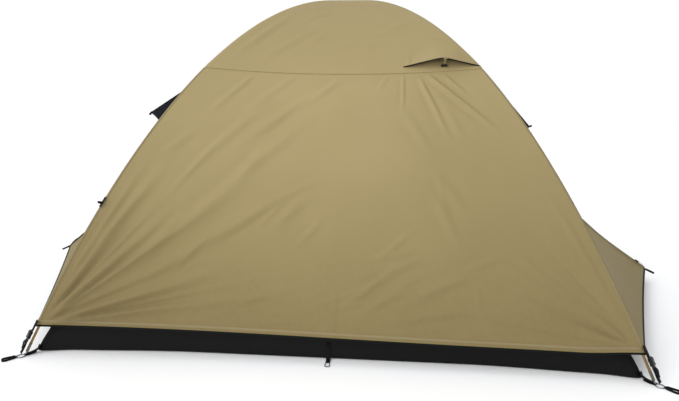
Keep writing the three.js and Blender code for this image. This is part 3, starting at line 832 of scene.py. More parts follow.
def make_cap():
    """Roof cap, with a lap of 12 mm that lies over the panels below the seam."""
    columns, rows = 64, 44 if FINE else 30
    heights = arch_height(np.linspace(arch_half(SEAM) / FOOT, 0.0, rows))
    lap = np.array([SEAM - 0.012, SEAM - 0.0095, SEAM - 0.004, SEAM + 0.002])
    levels = np.concatenate([lap, heights[1:]])
    lifts = np.concatenate([[0.0016, 0.0022, 0.0024, 0.0022], np.zeros(len(heights) - 1)])
    lifts[4:9] = np.linspace(0.0016, 0.0, 5)
    u = -1 + 2 * np.arange(columns)[:, None] / columns
    rings = [cap_point(u, levels[None, :] + 0 * u, turn, lifts[None, :]) for turn in range(4)]
    cloth("roof_cap", [np.concatenate(rings)], FLY, "tent", ["fly_roof_cap"], wrap=True)


def make_ends():
    nu, nv = (240, 130) if FINE else (150, 80)
    u = np.linspace(-1, 1, nu)[:, None]
    z = np.linspace(HEM, SEAM, nv)[None, :]
    for (end, turn), folds in zip(ENDS, (near_end_folds(), far_end_folds())):
        grid = end_point(u + 0 * z, z + 0 * u, folds, turn)
        cloth(f"fly_end_panel_{end}", [grid], FLY, "tent", [f"fly_end_{end}"])
        make_end_trim(end, turn, folds)


def make_end_trim(end, turn, folds):
    """Binding on the hem, the hem's seam above it, and a short seam up from its middle."""
    u = np.linspace(-0.999, 0.999, 160)

    def above_hem(s, d):
        return end_point(s, HEM + d + 0 * s, folds, turn)

    edge_tape(f"fly_hem_{end}", above_hem, u, 0.0065)
    rows = [end_point(u, HEM + d + 0 * u, folds, turn, 0.0004) for d in (0.014, 0.022)]
    ribbon(f"fly_hem_seam_{end}", rows[0], rows[1], 0.0006, FLY_SEAM, "tent")
    z = np.linspace(HEM + 0.012, HEM + 0.10, 30)
    sides = [end_point(place + 0 * z, z, folds, turn, 0.0003) for place in (0.018, 0.024)]
    ribbon(f"fly_mid_seam_{end}", sides[0], sides[1], 0.0005, FLY_SEAM, "tent")


def ribbon(name, first, second, thick, material, body, nodes=()):
    """A flat tape between two lines that run side by side on a surface."""
    first, second = np.asarray(first), np.asarray(second)
    middle = (first + second) / 2
    side = unit(second - first)
    tangent = unit(np.gradient(middle, axis=0))
    lift = unit(np.cross(tangent, side))
    centre = np.array([0, 0, 0.5])
    if ((middle - centre) * lift).sum() < 0:
        lift = -lift
    half = np.linalg.norm(second - first, axis=1).mean() / 2
    return sweep(name, middle, side, lift, flat_profile(-half, half, thick), material, body, nodes=nodes)


def edge_tape(name, surface, s, width, body="tent", material=None, thick=0.0011, squash=None):
    """Binding folded round the free edge of a cloth: surface(s, d) is d inside the edge."""
    edge = surface(s, 0.0)
    inner = surface(s, width)
    inward = unit(inner - edge)
    tangent = unit(np.gradient(edge, axis=0))
    out = unit(np.cross(tangent, inward))
    back = CLOTH + thick
    profile = [
        (width, thick), (0.0, thick), (-0.8 * thick, 0.4 * thick), (-0.8 * thick, -0.6 * back),
        (0.0, -back), (width, -back), (width, -back * 0.5), (width, thick * 0.3),
    ]
    return sweep(name, edge, inward, out, profile, material or BINDING, body, squash=squash)


# ---- Side panels and vestibules -----------------------------------------------
CORNER = np.array([float(arch_half(HEM)), float(arch_half(HEM)), HEM])
ROWS, RIDGE_ROW = 118, 44


def leg_line(z, y_sign):
    """Edge of a side panel, under the felled seam of the leg."""
    half = arch_half(z)
    return np.stack([half, y_sign * (half - 0.0012), z], -1)


def relax(grid, free, rounds):
    """Lets the cloth between fixed edges settle into its tension shape."""
    for _ in range(rounds):
        mean = np.zeros_like(grid)
        mean[1:-1, 1:-1] = (grid[:-2, 1:-1] + grid[2:, 1:-1] + grid[1:-1, :-2] + grid[1:-1, 2:]) / 4
        grid[free] = mean[free]
    return grid


def side_heights():
    """Row heights of a side panel, from the roof seam over the ridge top to the hem."""
    upper = np.linspace(SEAM, RIDGE_TOP, RIDGE_ROW + 1)
    lower = np.linspace(RIDGE_TOP, HEM, ROWS - RIDGE_ROW)
    return np.concatenate([upper, lower[1:]])


def seam_row(u):
    """Top edge of a side panel, under the roof seam."""
    z = SEAM + seam_shift(u)
    half = arch_half(z)
    return np.stack([half - SEAM_SAG * (1 - u ** 2), u * half, z], -1)


def side_grids(side):
    """Near half with its wing, and far half down to the straight fold of the door."""
    z = side_heights()
    s = np.clip((RIDGE_TOP - z) / (RIDGE_TOP - HEM), 0, 1)
    upper = z >= RIDGE_TOP - 1e-9
    lean = np.clip((z - RIDGE_TOP) / (SEAM - RIDGE_TOP), 0, 1)
    leg_z, middle_z = z + seam_shift(1) * lean ** 2, z + seam_shift(0) * lean ** 2
    near_leg, far_leg = leg_line(leg_z, -1), leg_line(leg_z, 1)
    half = arch_half(np.maximum(middle_z, RIDGE_TOP))
    sag = SEAM_SAG * (z - RIDGE_TOP) / (SEAM - RIDGE_TOP)
    middle = np.stack([half - np.where(upper, sag, 0), 0 * z, middle_z], -1)
    ridge = ridge_point(s, side) + np.array([0, -0.002, 0]) * (s[:, None] > 0)
    ridge = np.where(upper[:, None], middle, ridge)
    top = middle[RIDGE_ROW]
    fold = np.where(upper[:, None], middle, top + (CORNER - top) * s[:, None])
    columns = 60
    t = np.linspace(0, 1, columns)[:, None, None]
    hollow = (4 * t * (1 - t) * HEM_HOLLOW * (s ** 2)[None, :, None]) * np.array([1.0, 0, 0])
    near = near_leg[None] * (1 - t) + ridge[None] * t - hollow
    far = fold[None] * (1 - t) + far_leg[None] * t
    near[:, 0] = seam_row(t[:, 0, 0] - 1)
    far[:, 0] = seam_row(t[:, 0, 0])
    free = np.zeros(near.shape[:2], bool)
    free[1:-1, 1:-1] = True
    for _ in range(60):
        relax(near, free, 6)
        relax(far, free, 6)
        for j in range(1, RIDGE_ROW):
            middle_now = (near[-2, j] + far[1, j] + near[-1, j - 1] + near[-1, j + 1]) / 4
            near[-1, j] = far[0, j] = middle_now
    return near, far


def normals_of(grid):
    """Outward normals of a grid."""
    du = np.gradient(grid, axis=0)
    dv = np.gradient(grid, axis=1)
    n = unit(np.cross(du, dv))
    flip = np.sign(((grid - np.array([0, 0, 0.4])) * n).sum(-1, keepdims=True).mean())
    return n * flip


def side_folds():
    near, far = Folds(31), Folds(37)
    near.fan((-1.05, 0.115), (100, 84, 66, 50, 34, 20), 0.55, 0.024, 0.0055)
    near.fan((-0.03, 0.09), (118, 136, 152, 166), 0.45, 0.020, 0.005)
    near.lines(
        ((-0.62, 1.04), (-0.20, 0.80), 0.022, 0.005, 0.5),
        ((-0.30, 1.04), (-0.10, 0.86), 0.018, 0.004, 0.5),
    )
    near.scatter(6, (-0.7, 0.45), (-0.15, 0.95), -50, 0.25, 0.020, 0.004)
    near.lines(
        ((-0.66, 0.66), (-0.80, 0.22), 0.014, 0.009, 0.3),
        ((-0.50, 0.60), (-0.62, 0.26), 0.013, 0.007, 0.3),
        ((-0.62, 0.52), (-0.30, 0.30), 0.013, 0.006, 0.3),
        ((-0.58, 0.44), (-0.34, 0.18), 0.012, 0.005, 0.3),
    )
    far.fan((1.05, 0.115), (84, 97, 110, 124), 0.60, 0.026, 0.006)
    far.lines(
        ((0.10, 1.04), (0.48, 0.80), 0.020, 0.005, 0.5),
        ((0.42, 1.04), (0.30, 0.90), 0.016, 0.004, 0.5),
    )
    far.scatter(6, (0.15, 0.6), (0.6, 0.95), 40, 0.25, 0.020, 0.004)
    return near, far


def fold_over(grid, folds, soft=0.05):
    """The grid with folds pressed into it, which fade out towards its edges."""
    nu, nv = grid.shape[:2]
    i = np.minimum(np.arange(nu), np.arange(nu)[::-1])[:, None] / nu
    j = np.minimum(np.arange(nv), np.arange(nv)[::-1])[None, :] / nv
    rise = folds.height(grid[..., 1], grid[..., 2]) * (smooth(0, soft, i) * smooth(0, soft, j))
    return grid + normals_of(grid) * rise[..., None]


def make_sides():
    near_folds, far_folds = side_folds()
    for side, sign in SIDES:
        near, far = side_grids(side)
        near = fold_over(near, near_folds)
        far = fold_over(far, far_folds)
        grids = [mirror(near, sign), mirror(far, sign)]
        cloth(f"fly_side_panel_{side}", grids, FLY, "tent", [f"fly_side_{side}"], centre=(0, 0, 0.3))
        make_wing_trim(side, sign, near)
        make_storm_flap(side, sign, near)
        make_door(side, sign)


def along_edge(edge, inner, sign=1):
    """Edge of a grid as surface(s, d): s runs from 0 to 1 along it, d is in metres inside it."""
    count = np.arange(len(edge))

    def surface(s, d):
        at = s * (len(edge) - 1)
        p, q = (np.stack([np.interp(at, count, line[:, c]) for c in range(3)], -1) for line in (edge, inner))
        return mirror(p + unit(q - p) * d, sign)

    return surface


def make_wing_trim(side, sign, near):
    """Binding on the wing's hem, and its half of the zip beside the ridge."""
    hem = along_edge(near[:, -1], near[:, -5], sign)
    edge_tape(f"wing_hem_{side}", hem, np.linspace(0.004, 0.999, 70), 0.010)
    rows = slice(RIDGE_ROW, ROWS)
    zip_edge = along_edge(near[-1, rows], near[-5, rows], sign)
    make_zip_half(f"wing_zip_{{}}_{side}", zip_edge, np.linspace(0.0, 0.995, 70), "tent")


def make_zip_half(name, zip_edge, line, body):
    """Tape on the edge of the cloth, with half of the coil on top."""
    edge_tape(name.format("tape"), zip_edge, line, 0.013, body)
    coil = zip_edge(line, -0.0004) + np.array([0, 0, 0.0022])
    tube(name.format("coil"), coil, 0.0021, PLASTIC, body, count=8)


def door_grid(side):
    """The vestibule door, from its straight fold line to the ridge."""
    columns, rows = 46, 80
    s = np.linspace(0.0, 1, rows)
    top = ridge_point(0.0)
    fold = top + (CORNER - top) * s[:, None]
    ridge = ridge_point(s, side) + np.array([0, 0.002, 0]) * (s[:, None] > 0)
    t = np.linspace(0, 1, columns)[:, None, None]
    hollow = (4 * t * (1 - t) * HEM_HOLLOW * (s ** 2)[None, :, None]) * np.array([1.0, 0, 0])
    grid = fold[None] * (1 - t) + ridge[None] * t - hollow
    folds = Folds(41).fan((1.05, 0.115), (140, 152, 164, 174), 0.7, 0.024, 0.005)
    folds.fan((0.03, 0.09), (60, 44, 28, 12), 0.45, 0.022, 0.005)
    folds.line((0.03, 0.68), (0.30, 0.30), 0.020, 0.004, 0.5)
    return fold_over(grid, folds, 0.06)


def fold_band(side, sign):
    """Two bodies and the two ends of a band of 60 mm beside the door's straight fold line."""
    top = ridge_point(0.0)
    along = unit(CORNER - top)
    middle = (top + CORNER) / 2
    across = ridge_point(0.5, side) - middle
    across = unit(across - along * (across @ along))
    ends = mirror([middle, middle + across * 0.06], sign)
    return "tent", f"vestibule_flap_{side}", tuple(ends[0]), tuple(ends[1])


def make_door(side, sign):
    body = fold_band(side, sign)
    grid = door_grid(side)
    cloth(f"vestibule_flap_cloth_{side}", [mirror(grid, sign)], FLY, body, [f"vestibule_door_{side}"],
          centre=(0, 0, 0.2))
    hem = along_edge(grid[:, -1], grid[:, -5], sign)
    edge_tape(f"flap_hem_{side}", hem, np.linspace(0.004, 0.998, 90), 0.010, body)
    zip_edge = along_edge(grid[-1, 2:], grid[-5, 2:], sign)
    make_zip_half(f"flap_zip_{{}}_{side}", zip_edge, np.linspace(0.0, 0.998, 90), body)


# Distance inside the zip edge, and height above the cloth, across each storm flap.
STORM_FLAPS = {
    "right": (FLY, ((0.030, 0.0012), (0.016, 0.0034), (0.004, 0.0062), (-0.006, 0.0064), (-0.014, 0.0040))),
    "left": (GUSSET, ((0.0025, 0.0030), (0.010, 0.0048), (0.018, 0.0040), (0.026, 0.0016))),
}


def make_storm_flap(side, sign, near):
    """Right: the flap lies over the zip. Left: it is turned back on the near half, dark side up."""
    rows = slice(RIDGE_ROW + 3, ROWS - 1)
    normal = normals_of(near)[-1, rows]
    edge = near[-1, rows]
    inward = unit(near[-5, rows] - edge)
    material, section = STORM_FLAPS[side]
    points = [edge + inward * inside + normal * above for inside, above in section]
    cloth(f"storm_flap_{side}", [mirror(np.stack(points), sign)], material, "tent", thickness=0.0009)
    if side == "right":
        crest = mirror(edge + inward * 0.004 + normal * 0.0066, sign)
        tube("storm_flap_piping", crest, 0.0016, BINDING, "tent", count=8)


# ---- Seams along the legs --------------------------------------------------------
def make_leg_seams():
    """A felled seam of the fly runs down every leg; its corner lies over the pole."""
    wing, drop, thick = 0.0058, 0.0055, 0.0011
    profile = [
        (-wing, -drop), (0, thick), (wing, -drop), (wing - 0.0008, -drop - thick),
        (0, -thick), (-wing + 0.0008, -drop - thick),
    ]
    z = np.linspace(HEM + 0.003, SEAM + seam_shift(1) - 0.012, 90)
    for leg, angle, _ in LEGS:
        path = along_leg((arch_half(z) + 0.0008) * math.sqrt(2), z, angle)
        side = across_leg(angle)
        lift = perpendicular(path, side)
        if (lift * path).sum() < 0:
            lift = -lift
        sweep(f"leg_seam_{leg}", path, side, lift, profile, FLY_SEAM, "tent")


def make_guy_points():
    """Webbing tab with a small loop at guy height on two opposite leg seams."""
    z = np.linspace(0.523, 0.559, 8)
    turn = np.linspace(0, 2 * math.pi, 20, endpoint=False)[:, None]
    for leg, angle, _ in LEGS[1::2]:
        path = along_leg((arch_half(z) + 0.0022) * math.sqrt(2), z, angle)
        side = across_leg(angle)
        lift = unit(path * np.array([1, 1, 0.4]))
        tab = bar(path, side, lift, flat_profile(-0.009, 0.009, 0.0016, -0.0018))
        loop = path[3] + lift[3] * (0.007 + 0.008 * np.cos(turn)) + side * (0.012 * np.sin(turn))
        around = unit(loop - loop.mean(0))
        ring = bar(loop, UP, around, flat_profile(-0.004, 0.004, 0.0012, -0.0006), True)
        build(f"guy_tab_{leg}", [tab, ring], WEBBING, "tent")


# ---- Poles ------------------------------------------------------------------------
def make_poles():
    """Two bent poles of four tubes each, with a ferrule at each joint and a cap at each end."""
    for letter, turn in (("a", 1), ("b", -1)):
        top = POLE_TOPS[letter]
        half = FOOT - POLE_INSET
        end = float(arch_half(POLE_END, 1.0, top))
        across = unit(np.array([1.0, -turn, 0.0]))

        def point(r):
            return np.stack([half * r * turn, half * r, arch_height(r, top)], -1)

        for i in range(4):
            low, high = -end + end * i / 2, -end + end * (i + 1) / 2
            r = np.linspace(low + 0.0003, high - 0.0003, 48)
            tube(f"pole_{letter}_tube_{i + 1}", point(r), POLE_R, GOLD, "tent", across, 16,
                 [f"pole_{letter}_section_{i + 1}"])
            if i:
                collar = np.linspace(low - 0.011, low + 0.011, 8)
                tube(f"pole_{letter}_ferrule_{i}", point(collar), POLE_R + 0.0005, ALLOY, "tent", across, 16)
        for sign in (-1, 1):
            tip = np.linspace(sign * end, sign * (end - 0.010), 6)
            tube(f"pole_{letter}_end_{'far' if sign > 0 else 'near'}", point(tip), POLE_R + 0.0006, ALLOY,
                 "tent", across, 16)


# ---- Inner tent -------------------------------------------------------------------
DOOR_ROUND, DOOR_FOOT_ROUND = 0.20, 0.06


def inner_half(z):
    """Half width of the inner tent: straight walls up to the knee, then a round roof."""
    z = np.asarray(z, float)
    wall = TUB_TOP_HALF + (KNEE_HALF - TUB_TOP_HALF) * (z - TUB_TOP) / (KNEE - TUB_TOP)
    roof = KNEE_HALF * np.sqrt(np.maximum(0, INNER_APEX - z) / (INNER_APEX - KNEE))
    return np.where(z > KNEE, roof, wall)


def bow(u):
    """How much the middle of an inner wall is drawn in, from 0 at its edges to 1."""
    past = np.maximum(0, (np.abs(u) - DOOR_U) / (1 - DOOR_U))
    return 0.5 * (1 + np.cos(math.pi * np.minimum(1, past)))


def gore_folds(side):
    """Pulls from the clips on both edges, and soft wrinkles between."""
    folds = Folds(50 + side)
    for sign in (-1, 1):
        for z in CLIP_HEIGHTS:
            x = sign * float(inner_half(z)) * 0.99
            folds.fan((x, z), (90 + sign * 64, 90 + sign * 90, 90 + sign * 116), 0.30, 0.016, 0.0035)
    return folds.scatter(10, (-0.5, 0.2), (0.5, 1.1), 80, 0.35, 0.030, 0.003)


def gore_point(u, z, side, lift=0.0, folds=None):
    """A place on a wall of the inner tent: u runs from edge to edge."""
    half = inner_half(z)
    fade = np.clip((INNER_APEX - z) / (INNER_APEX - KNEE), 0, 1)
    rise = lift - TUB_BOW * bow(u) * fade
    if folds is not None:
        rise = rise + folds.height(u * half, z) * smooth(1, 0.9, np.abs(u)) * smooth(1.36, 1.2, z)
    return turn_z(np.stack([half + rise, u * half, z + 0 * half], -1), side * math.pi / 2)


def door_half(z):
    """Half width of the doorway, with rounded corners, as a share of the wall's half width."""
    high = np.clip((z - (DOOR_HIGH - DOOR_ROUND)) / DOOR_ROUND, 0, 1)
    low = np.clip(((DOOR_LOW + DOOR_FOOT_ROUND) - z) / DOOR_FOOT_ROUND, 0, 1)
    cut = DOOR_ROUND * (1 - np.sqrt(1 - high ** 2)) + DOOR_FOOT_ROUND * (1 - np.sqrt(1 - low ** 2))
    return DOOR_U - cut / inner_half(z)


def door_rows():
    """Row heights of a doorway, closer together where its corners are round."""
    turn = np.linspace(0, math.pi / 2, 14)
    low = DOOR_LOW + DOOR_FOOT_ROUND * (1 - np.cos(turn[:8] * 13 / 7))
    high = DOOR_HIGH - DOOR_ROUND * (1 - np.sin(turn))
    middle = np.linspace(DOOR_LOW + DOOR_FOOT_ROUND, DOOR_HIGH - DOOR_ROUND, 44)
    return np.concatenate([low[:-1], middle, high[1:]])


def gore_grids(side, has_door, folds):
    """A wall as patches above, below and beside the doorway, and one in it where there is no door."""
    edge = 0.998
    t = np.linspace(0, 1, 22)
    middle = np.linspace(-1, 1, 31)[1:-1]
    roof = arch_rows(KNEE, INNER_APEX - 0.0005, 26)
    above = np.concatenate([np.linspace(DOOR_HIGH, KNEE, 5)[:-1], roof])
    below = np.linspace(TUB_TOP + 0.001, DOOR_LOW, 6)

    def columns(w):
        left = -edge + t * (edge - w)
        return np.concatenate([left, middle * w, -left[::-1]])

    def patch(us, zs):
        return gore_point(us, zs, side, 0.0, folds)

    top_u = columns(float(door_half(DOOR_HIGH)))[:, None]
    low_u = columns(float(door_half(DOOR_LOW)))[:, None]
    rows = door_rows()
    w = door_half(rows)[None, :]
    grids = [patch(top_u + 0 * above[None], above[None] + 0 * top_u),
             patch(low_u + 0 * below[None], below[None] + 0 * low_u)]
    left = -edge + t[:, None] * (edge - w)
    grids.append(patch(left, rows[None] + 0 * left))
    grids.append(patch(-left[::-1], rows[None] + 0 * left))
    if not has_door:
        span = np.concatenate([[-1], middle, [1]])[:, None] * w
        grids.append(patch(span, rows[None] + 0 * span))
    return grids


def arch_rows(low, high, count):
    """Row heights of the inner roof, closer together towards the apex."""
    share = np.linspace(1, 0, count)
    z = INNER_APEX - (INNER_APEX - low) * share ** 2
    return np.minimum(z, high)


def door_outline(side, grow, lift):
    """Closed path round the doorway, grown outwards and lifted off the wall."""
    rows = door_rows()
    w = door_half(rows) + grow
    span = np.linspace(-1, 1, 24)[1:-1]
    lap = grow * float(inner_half(0.5))
    top = gore_point(span * w[-1], 0 * span + DOOR_HIGH + lap, side, lift)
    low = gore_point(-span * w[0], 0 * span + DOOR_LOW - lap, side, lift)
    left = gore_point(-w, rows, side, lift)
    right = gore_point(w[::-1], rows[::-1], side, lift)
    return np.concatenate([left, top, right, low])


def make_inner():
    names = ("side_right", "end_far", "side_left", "end_near")
    for side, name in enumerate(names):
        has_door = side % 2 == 0
        folds = gore_folds(side)
        cloth(f"inner_{name}_cloth", gore_grids(side, has_door, folds), INNER, "tent", [f"inner_{name}"],
              thickness=0.0005)
        if has_door:
            make_inner_door(side, name.split("_")[1])
    make_inner_seams()


def make_inner_seams():
    """A lapped seam on each edge between two walls, up to the apex."""
    profile = [
        (-0.007, -0.0066), (0, 0.0009), (0.007, -0.0066), (0.0064, -0.0076),
        (0, -0.0008), (-0.0064, -0.0076),
    ]
    z = np.concatenate([np.linspace(TUB_TOP, KNEE, 40), arch_rows(KNEE, INNER_APEX - 0.002, 24)[1:]])
    for leg, angle, _ in LEGS:
        path = along_leg(inner_half(z) * math.sqrt(2) + 0.0006, z, angle)
        lift = perpendicular(path, across_leg(angle))
        lift = lift * np.sign((lift * path).sum(-1, keepdims=True))
        sweep(f"inner_seam_{leg}", path, across_leg(angle), lift, profile, INNER_SEAM, "tent")


def make_inner_door(side, name):
    """Net door, 4 mm smaller than its doorway, with its binding and the zip round it."""
    body = f"inner_flap_{name}"
    tall = DOOR_HIGH - DOOR_LOW
    rows = DOOR_LOW + 0.004 + (door_rows() - DOOR_LOW) * (tall - 0.008) / tall
    t = np.linspace(-1, 1, 50)[:, None]
    u = t * (door_half(rows)[None] - 0.006)
    net = Folds(70 + side).scatter(8, (-0.3, 0.25), (0.3, 0.85), 70, 0.4, 0.035, 0.003)
    grid = gore_point(u, rows[None] + 0 * u, side, 0.0, net)
    cloth(f"inner_door_net_{name}", [grid], NET, body, [f"inner_door_{name}"], thickness=0.0004)
    for part, grow, material, owner, lift in (
        ("zip_tape", 0.014, BINDING, "tent", 0.0008),
        ("net_binding", -0.014, BINDING, body, 0.0008),
    ):
        outline = door_outline(side, grow, lift)
        normal = turn_z([[0.85, 0, 0.5]], side * math.pi / 2)[0]
        tangent = unit(np.roll(outline, -1, 0) - np.roll(outline, 1, 0))
        across = unit(np.cross(tangent, np.broadcast_to(normal, tangent.shape)))
        flat = unit(np.cross(across, tangent))
        sweep(f"inner_door_{part}_{name}", outline, across, flat, flat_profile(-0.008, 0.008, 0.0009),
              material, owner, True)
    coil = door_outline(side, 0.0, 0.0022)
    build(f"inner_door_coil_{name}", [round_bar(coil, 0.0019, UP + 0.3, 8, True)], PLASTIC, "tent")


# ---- Tub ------------------------------------------------------------------------
def tub_folds(side):
    """Creases from the foot of both corners, and shallow ones along and across the wall."""
    folds = Folds(90 + side)
    for sign in (-1, 1):
        foot = (sign * 1.06, 0.004)
        folds.lines(
            (foot, (sign * 0.93, 0.13), 0.010, 0.004, 0.6),
            (foot, (sign * 0.80, 0.075), 0.010, 0.0035, 0.6),
            (foot, (sign * 1.01, 0.13), 0.007, 0.003, 0.6),
        )
    folds.scatter(10, (-0.9, 0.02), (0.9, 0.12), 12, 0.30, 0.012, 0.0025)
    folds.scatter(8, (-0.9, 0.02), (0.9, 0.12), 80, 0.10, 0.010, 0.002)
    return folds


def corner_pull(u, z):
    """The ring straps draw the foot of each tub corner out, and its top leans in."""
    share = smooth(0.86, 1.0, np.abs(u)) ** 2
    return share * (0.017 - 0.031 * smooth(0.0, 1.0, z / TUB_TOP))


def tub_quarter(side):
    """A quarter of the tub, from the middle of the floor over the rounded rim to the top of the wall."""
    count = 120
    folds = tub_folds(side)
    u = -1 + 2 * np.arange(count) / count
    columns = []
    for share in np.linspace(0, 1, 26):
        half = (TUB_HALF - 0.012 + corner_pull(u, 0.0)) * share
        waves = np.sin(9 * u * half + 5 * side) * np.sin(7 * half + side)
        ripple = 0.0016 * (1 + waves) * smooth(1, 0.9, share)
        columns.append(np.stack([half - TUB_BOW * bow(u) * share, u * half, 0.0012 + ripple], -1))
    for inset, z in ((0.006, 0.0030), (0.002, 0.0070), (0.0, 0.0120)):
        half = TUB_HALF - inset + corner_pull(u, z)
        columns.append(np.stack([half - TUB_BOW * bow(u), u * half, 0 * u + z], -1))
    for z in np.linspace(0.012, TUB_TOP, 14)[1:]:
        half = tub_wall_half(z) + corner_pull(u, z)
        rise = folds.height(u * half, z) * smooth(1, 0.985, np.abs(u))
        columns.append(np.stack([half - TUB_BOW * bow(u) + rise, u * half, 0 * u + z], -1))
    return turn_z(np.stack(columns, 1), side * math.pi / 2)


def tub_wall_half(z):
    """Half width of the tub's wall, which leans in above its rounded rim."""
    return TUB_HALF + (TUB_TOP_HALF - TUB_HALF) * (z - 0.008) / (TUB_TOP - 0.008)


def make_tub():
    grid = np.concatenate([tub_quarter(side) for side in range(4)])
    cloth("tub_floor", [grid], TUB, "tent", ["floor_tub"], wrap=True, thickness=0.0006)
    top = grid[:, -1]
    out = unit(top * (ALONG_X + ALONG_Y))
    profile = [(-0.006, 0.0008), (0.006, 0.0008), (0.0068, 0), (0.006, -0.0016), (-0.006, -0.0016)]
    sweep("tub_rim_seam", top, UP, out, profile, INNER_SEAM, "tent", True)


def make_floor_tabs():
    """A webbing tab with a stake loop at the middle of the near and the far floor edge."""
    for end, turn in ENDS:
        y = -(TUB_HALF - TUB_BOW)
        path = np.array([
            (0, y + 0.0075, 0.062), (0, y + 0.0040, 0.040), (0, y + 0.0005, 0.018), (0, y - 0.0012, 0.008),
            (0, y - 0.006, 0.0032), (0, y - 0.016, 0.0022), (0, y - 0.030, 0.0020),
        ])
        lift = perpendicular(path, ALONG_X)
        lift = lift * np.sign(lift[:, 1:2] * -1 + lift[:, 2:] + 1e-6)
        strap = bar(path, ALONG_X, lift, flat_profile(-0.008, 0.008, 0.0014))
        loop = loop_path(0.0, 0.030, 0.006, 0.009)
        points = np.stack([loop[:, 1], y - 0.028 - loop[:, 0], np.full(len(loop), 0.0024)], -1)
        ring = round_bar(points, 0.0013, UP, 8, True)
        for part in (strap, ring):
            part[0][:] = turn_z(part[0], turn * math.pi / 2)
        build(f"floor_tab_{end}", [strap, ring], WEBBING, "tent")


def loop_path(start, length, narrow, wide):
    """A closed loop in its own plane that opens from a narrow neck to a round end."""
    end = start + length
    turn = np.linspace(-math.pi / 2, math.pi / 2, 14)
    tip = np.stack([end - wide + wide * np.cos(turn), wide * np.sin(turn)], -1)
    t = np.linspace(0, 1, 8)[:-1, None]
    low = np.array([[start, -narrow]]) * (1 - t) + tip[:1] * t
    high = low[::-1] * np.array([1, -1])
    neck = np.array([[start - narrow * 0.4, -narrow * 0.5], [start - narrow * 0.4, narrow * 0.5]])
    return np.concatenate([neck[:1], low, tip, high, neck[1:]])


# ---- Clips ------------------------------------------------------------------------
def pole_reach(z, letter):
    """Distance from the middle of the tent to a pole, at a height."""
    return float(arch_half(z, FOOT - POLE_INSET, POLE_TOPS[letter])) * math.sqrt(2)


def clip_parts(z, angle, letter):
    """A hook round the pole, its stalk, and the strap back to the inner tent's seam."""
    reach = pole_reach(z, letter)
    lean = math.atan2(pole_reach(z - 0.05, letter) - pole_reach(z + 0.05, letter), 0.10)
    span = (reach - float(inner_half(z)) * math.sqrt(2)) * math.cos(lean) - 0.0022
    out = np.array([math.cos(lean), 0, math.sin(lean)])
    along = np.array([-math.sin(lean), 0, math.cos(lean)])
    turn = np.linspace(0.42 * math.pi, 1.58 * math.pi, 22)
    arc = np.stack([0.0070 * np.cos(turn), 0.0070 * np.sin(turn), 0 * turn], -1)
    stem = np.linspace(-0.0078, -0.022, 6)[:, None] * ALONG_X
    strap = np.linspace(-0.018, -span, 8)[:, None] * ALONG_X
    parts = [
        bar(arc, UP, perpendicular(arc, UP), flat_profile(-0.007, 0.007, 0.0022, -0.0008)),
        bar(stem, ALONG_Y, UP, flat_profile(-0.006, 0.006, 0.0030, -0.0015)),
        bar(strap, ALONG_Y, UP, flat_profile(-0.008, 0.008, 0.0040, -0.0020)),
    ]
    for points, _, _ in parts:
        flat = points[:, :1] * out + points[:, 1:2] * ALONG_Y + points[:, 2:] * along
        points[:] = turn_z(np.array([reach, 0, z]) + flat, angle)
    return parts


def make_clips():
    for leg, angle, letter in LEGS:
        hooks, tabs = [], []
        for z in CLIP_HEIGHTS:
            hook, stalk, tab = clip_parts(z, angle, letter)
            hooks += [hook, stalk]
            tabs.append(tab)
        build(f"pole_hooks_{leg}", hooks, PLASTIC, "tent", [f"pole_clip_{leg}"])
        build(f"pole_hook_straps_{leg}", tabs, WEBBING, "tent")


# ---- Vents ------------------------------------------------------------------------
VENT_LEFT, VENT_RIGHT, VENT_FOOT, VENT_TILT, VENT_RISE = 0.256, 0.580, 1.063, 0.012, 0.130
VENT_PEAK = (0.422, -0.604, 1.1125)


def vent_foot(t):
    """Places on the line between the two corners of the vent: along the wall, and height."""
    return VENT_LEFT + (VENT_RIGHT - VENT_LEFT) * t, VENT_FOOT - VENT_TILT * t


def vent_edge(t, turn=0, drop=0.0):
    """Line where the eyelid leaves the roof: an arch above its open edge."""
    x, foot = vent_foot(t)
    z = foot + VENT_RISE * np.maximum(np.sin(math.pi * t), 0) ** 0.85
    return cap_point(x / arch_half(z), z - drop, turn, 0.0003)


def vent_brow(t, turn=0):
    """The open lower edge: from both corners up to the rounded peak that the prop holds."""
    x, foot = vent_foot(t)
    peak_t = (VENT_PEAK[0] - VENT_LEFT) / (VENT_RIGHT - VENT_LEFT)
    side = np.where(t < peak_t, t / peak_t, (1 - t) / (1 - peak_t))
    blunt = (math.hypot(1, 0.10) - np.hypot(1 - side, 0.10)) / (math.hypot(1, 0.10) - 0.10)
    corner = cap_point(x / arch_half(foot), foot, 0, 0.0003)
    y = corner[:, 1] + (VENT_PEAK[1] - corner[:, 1]) * blunt ** 1.12
    z = corner[:, 2] + (VENT_PEAK[2] - corner[:, 2]) * blunt
    return turn_z(np.stack([x, y, z], -1), turn * math.pi / 2)


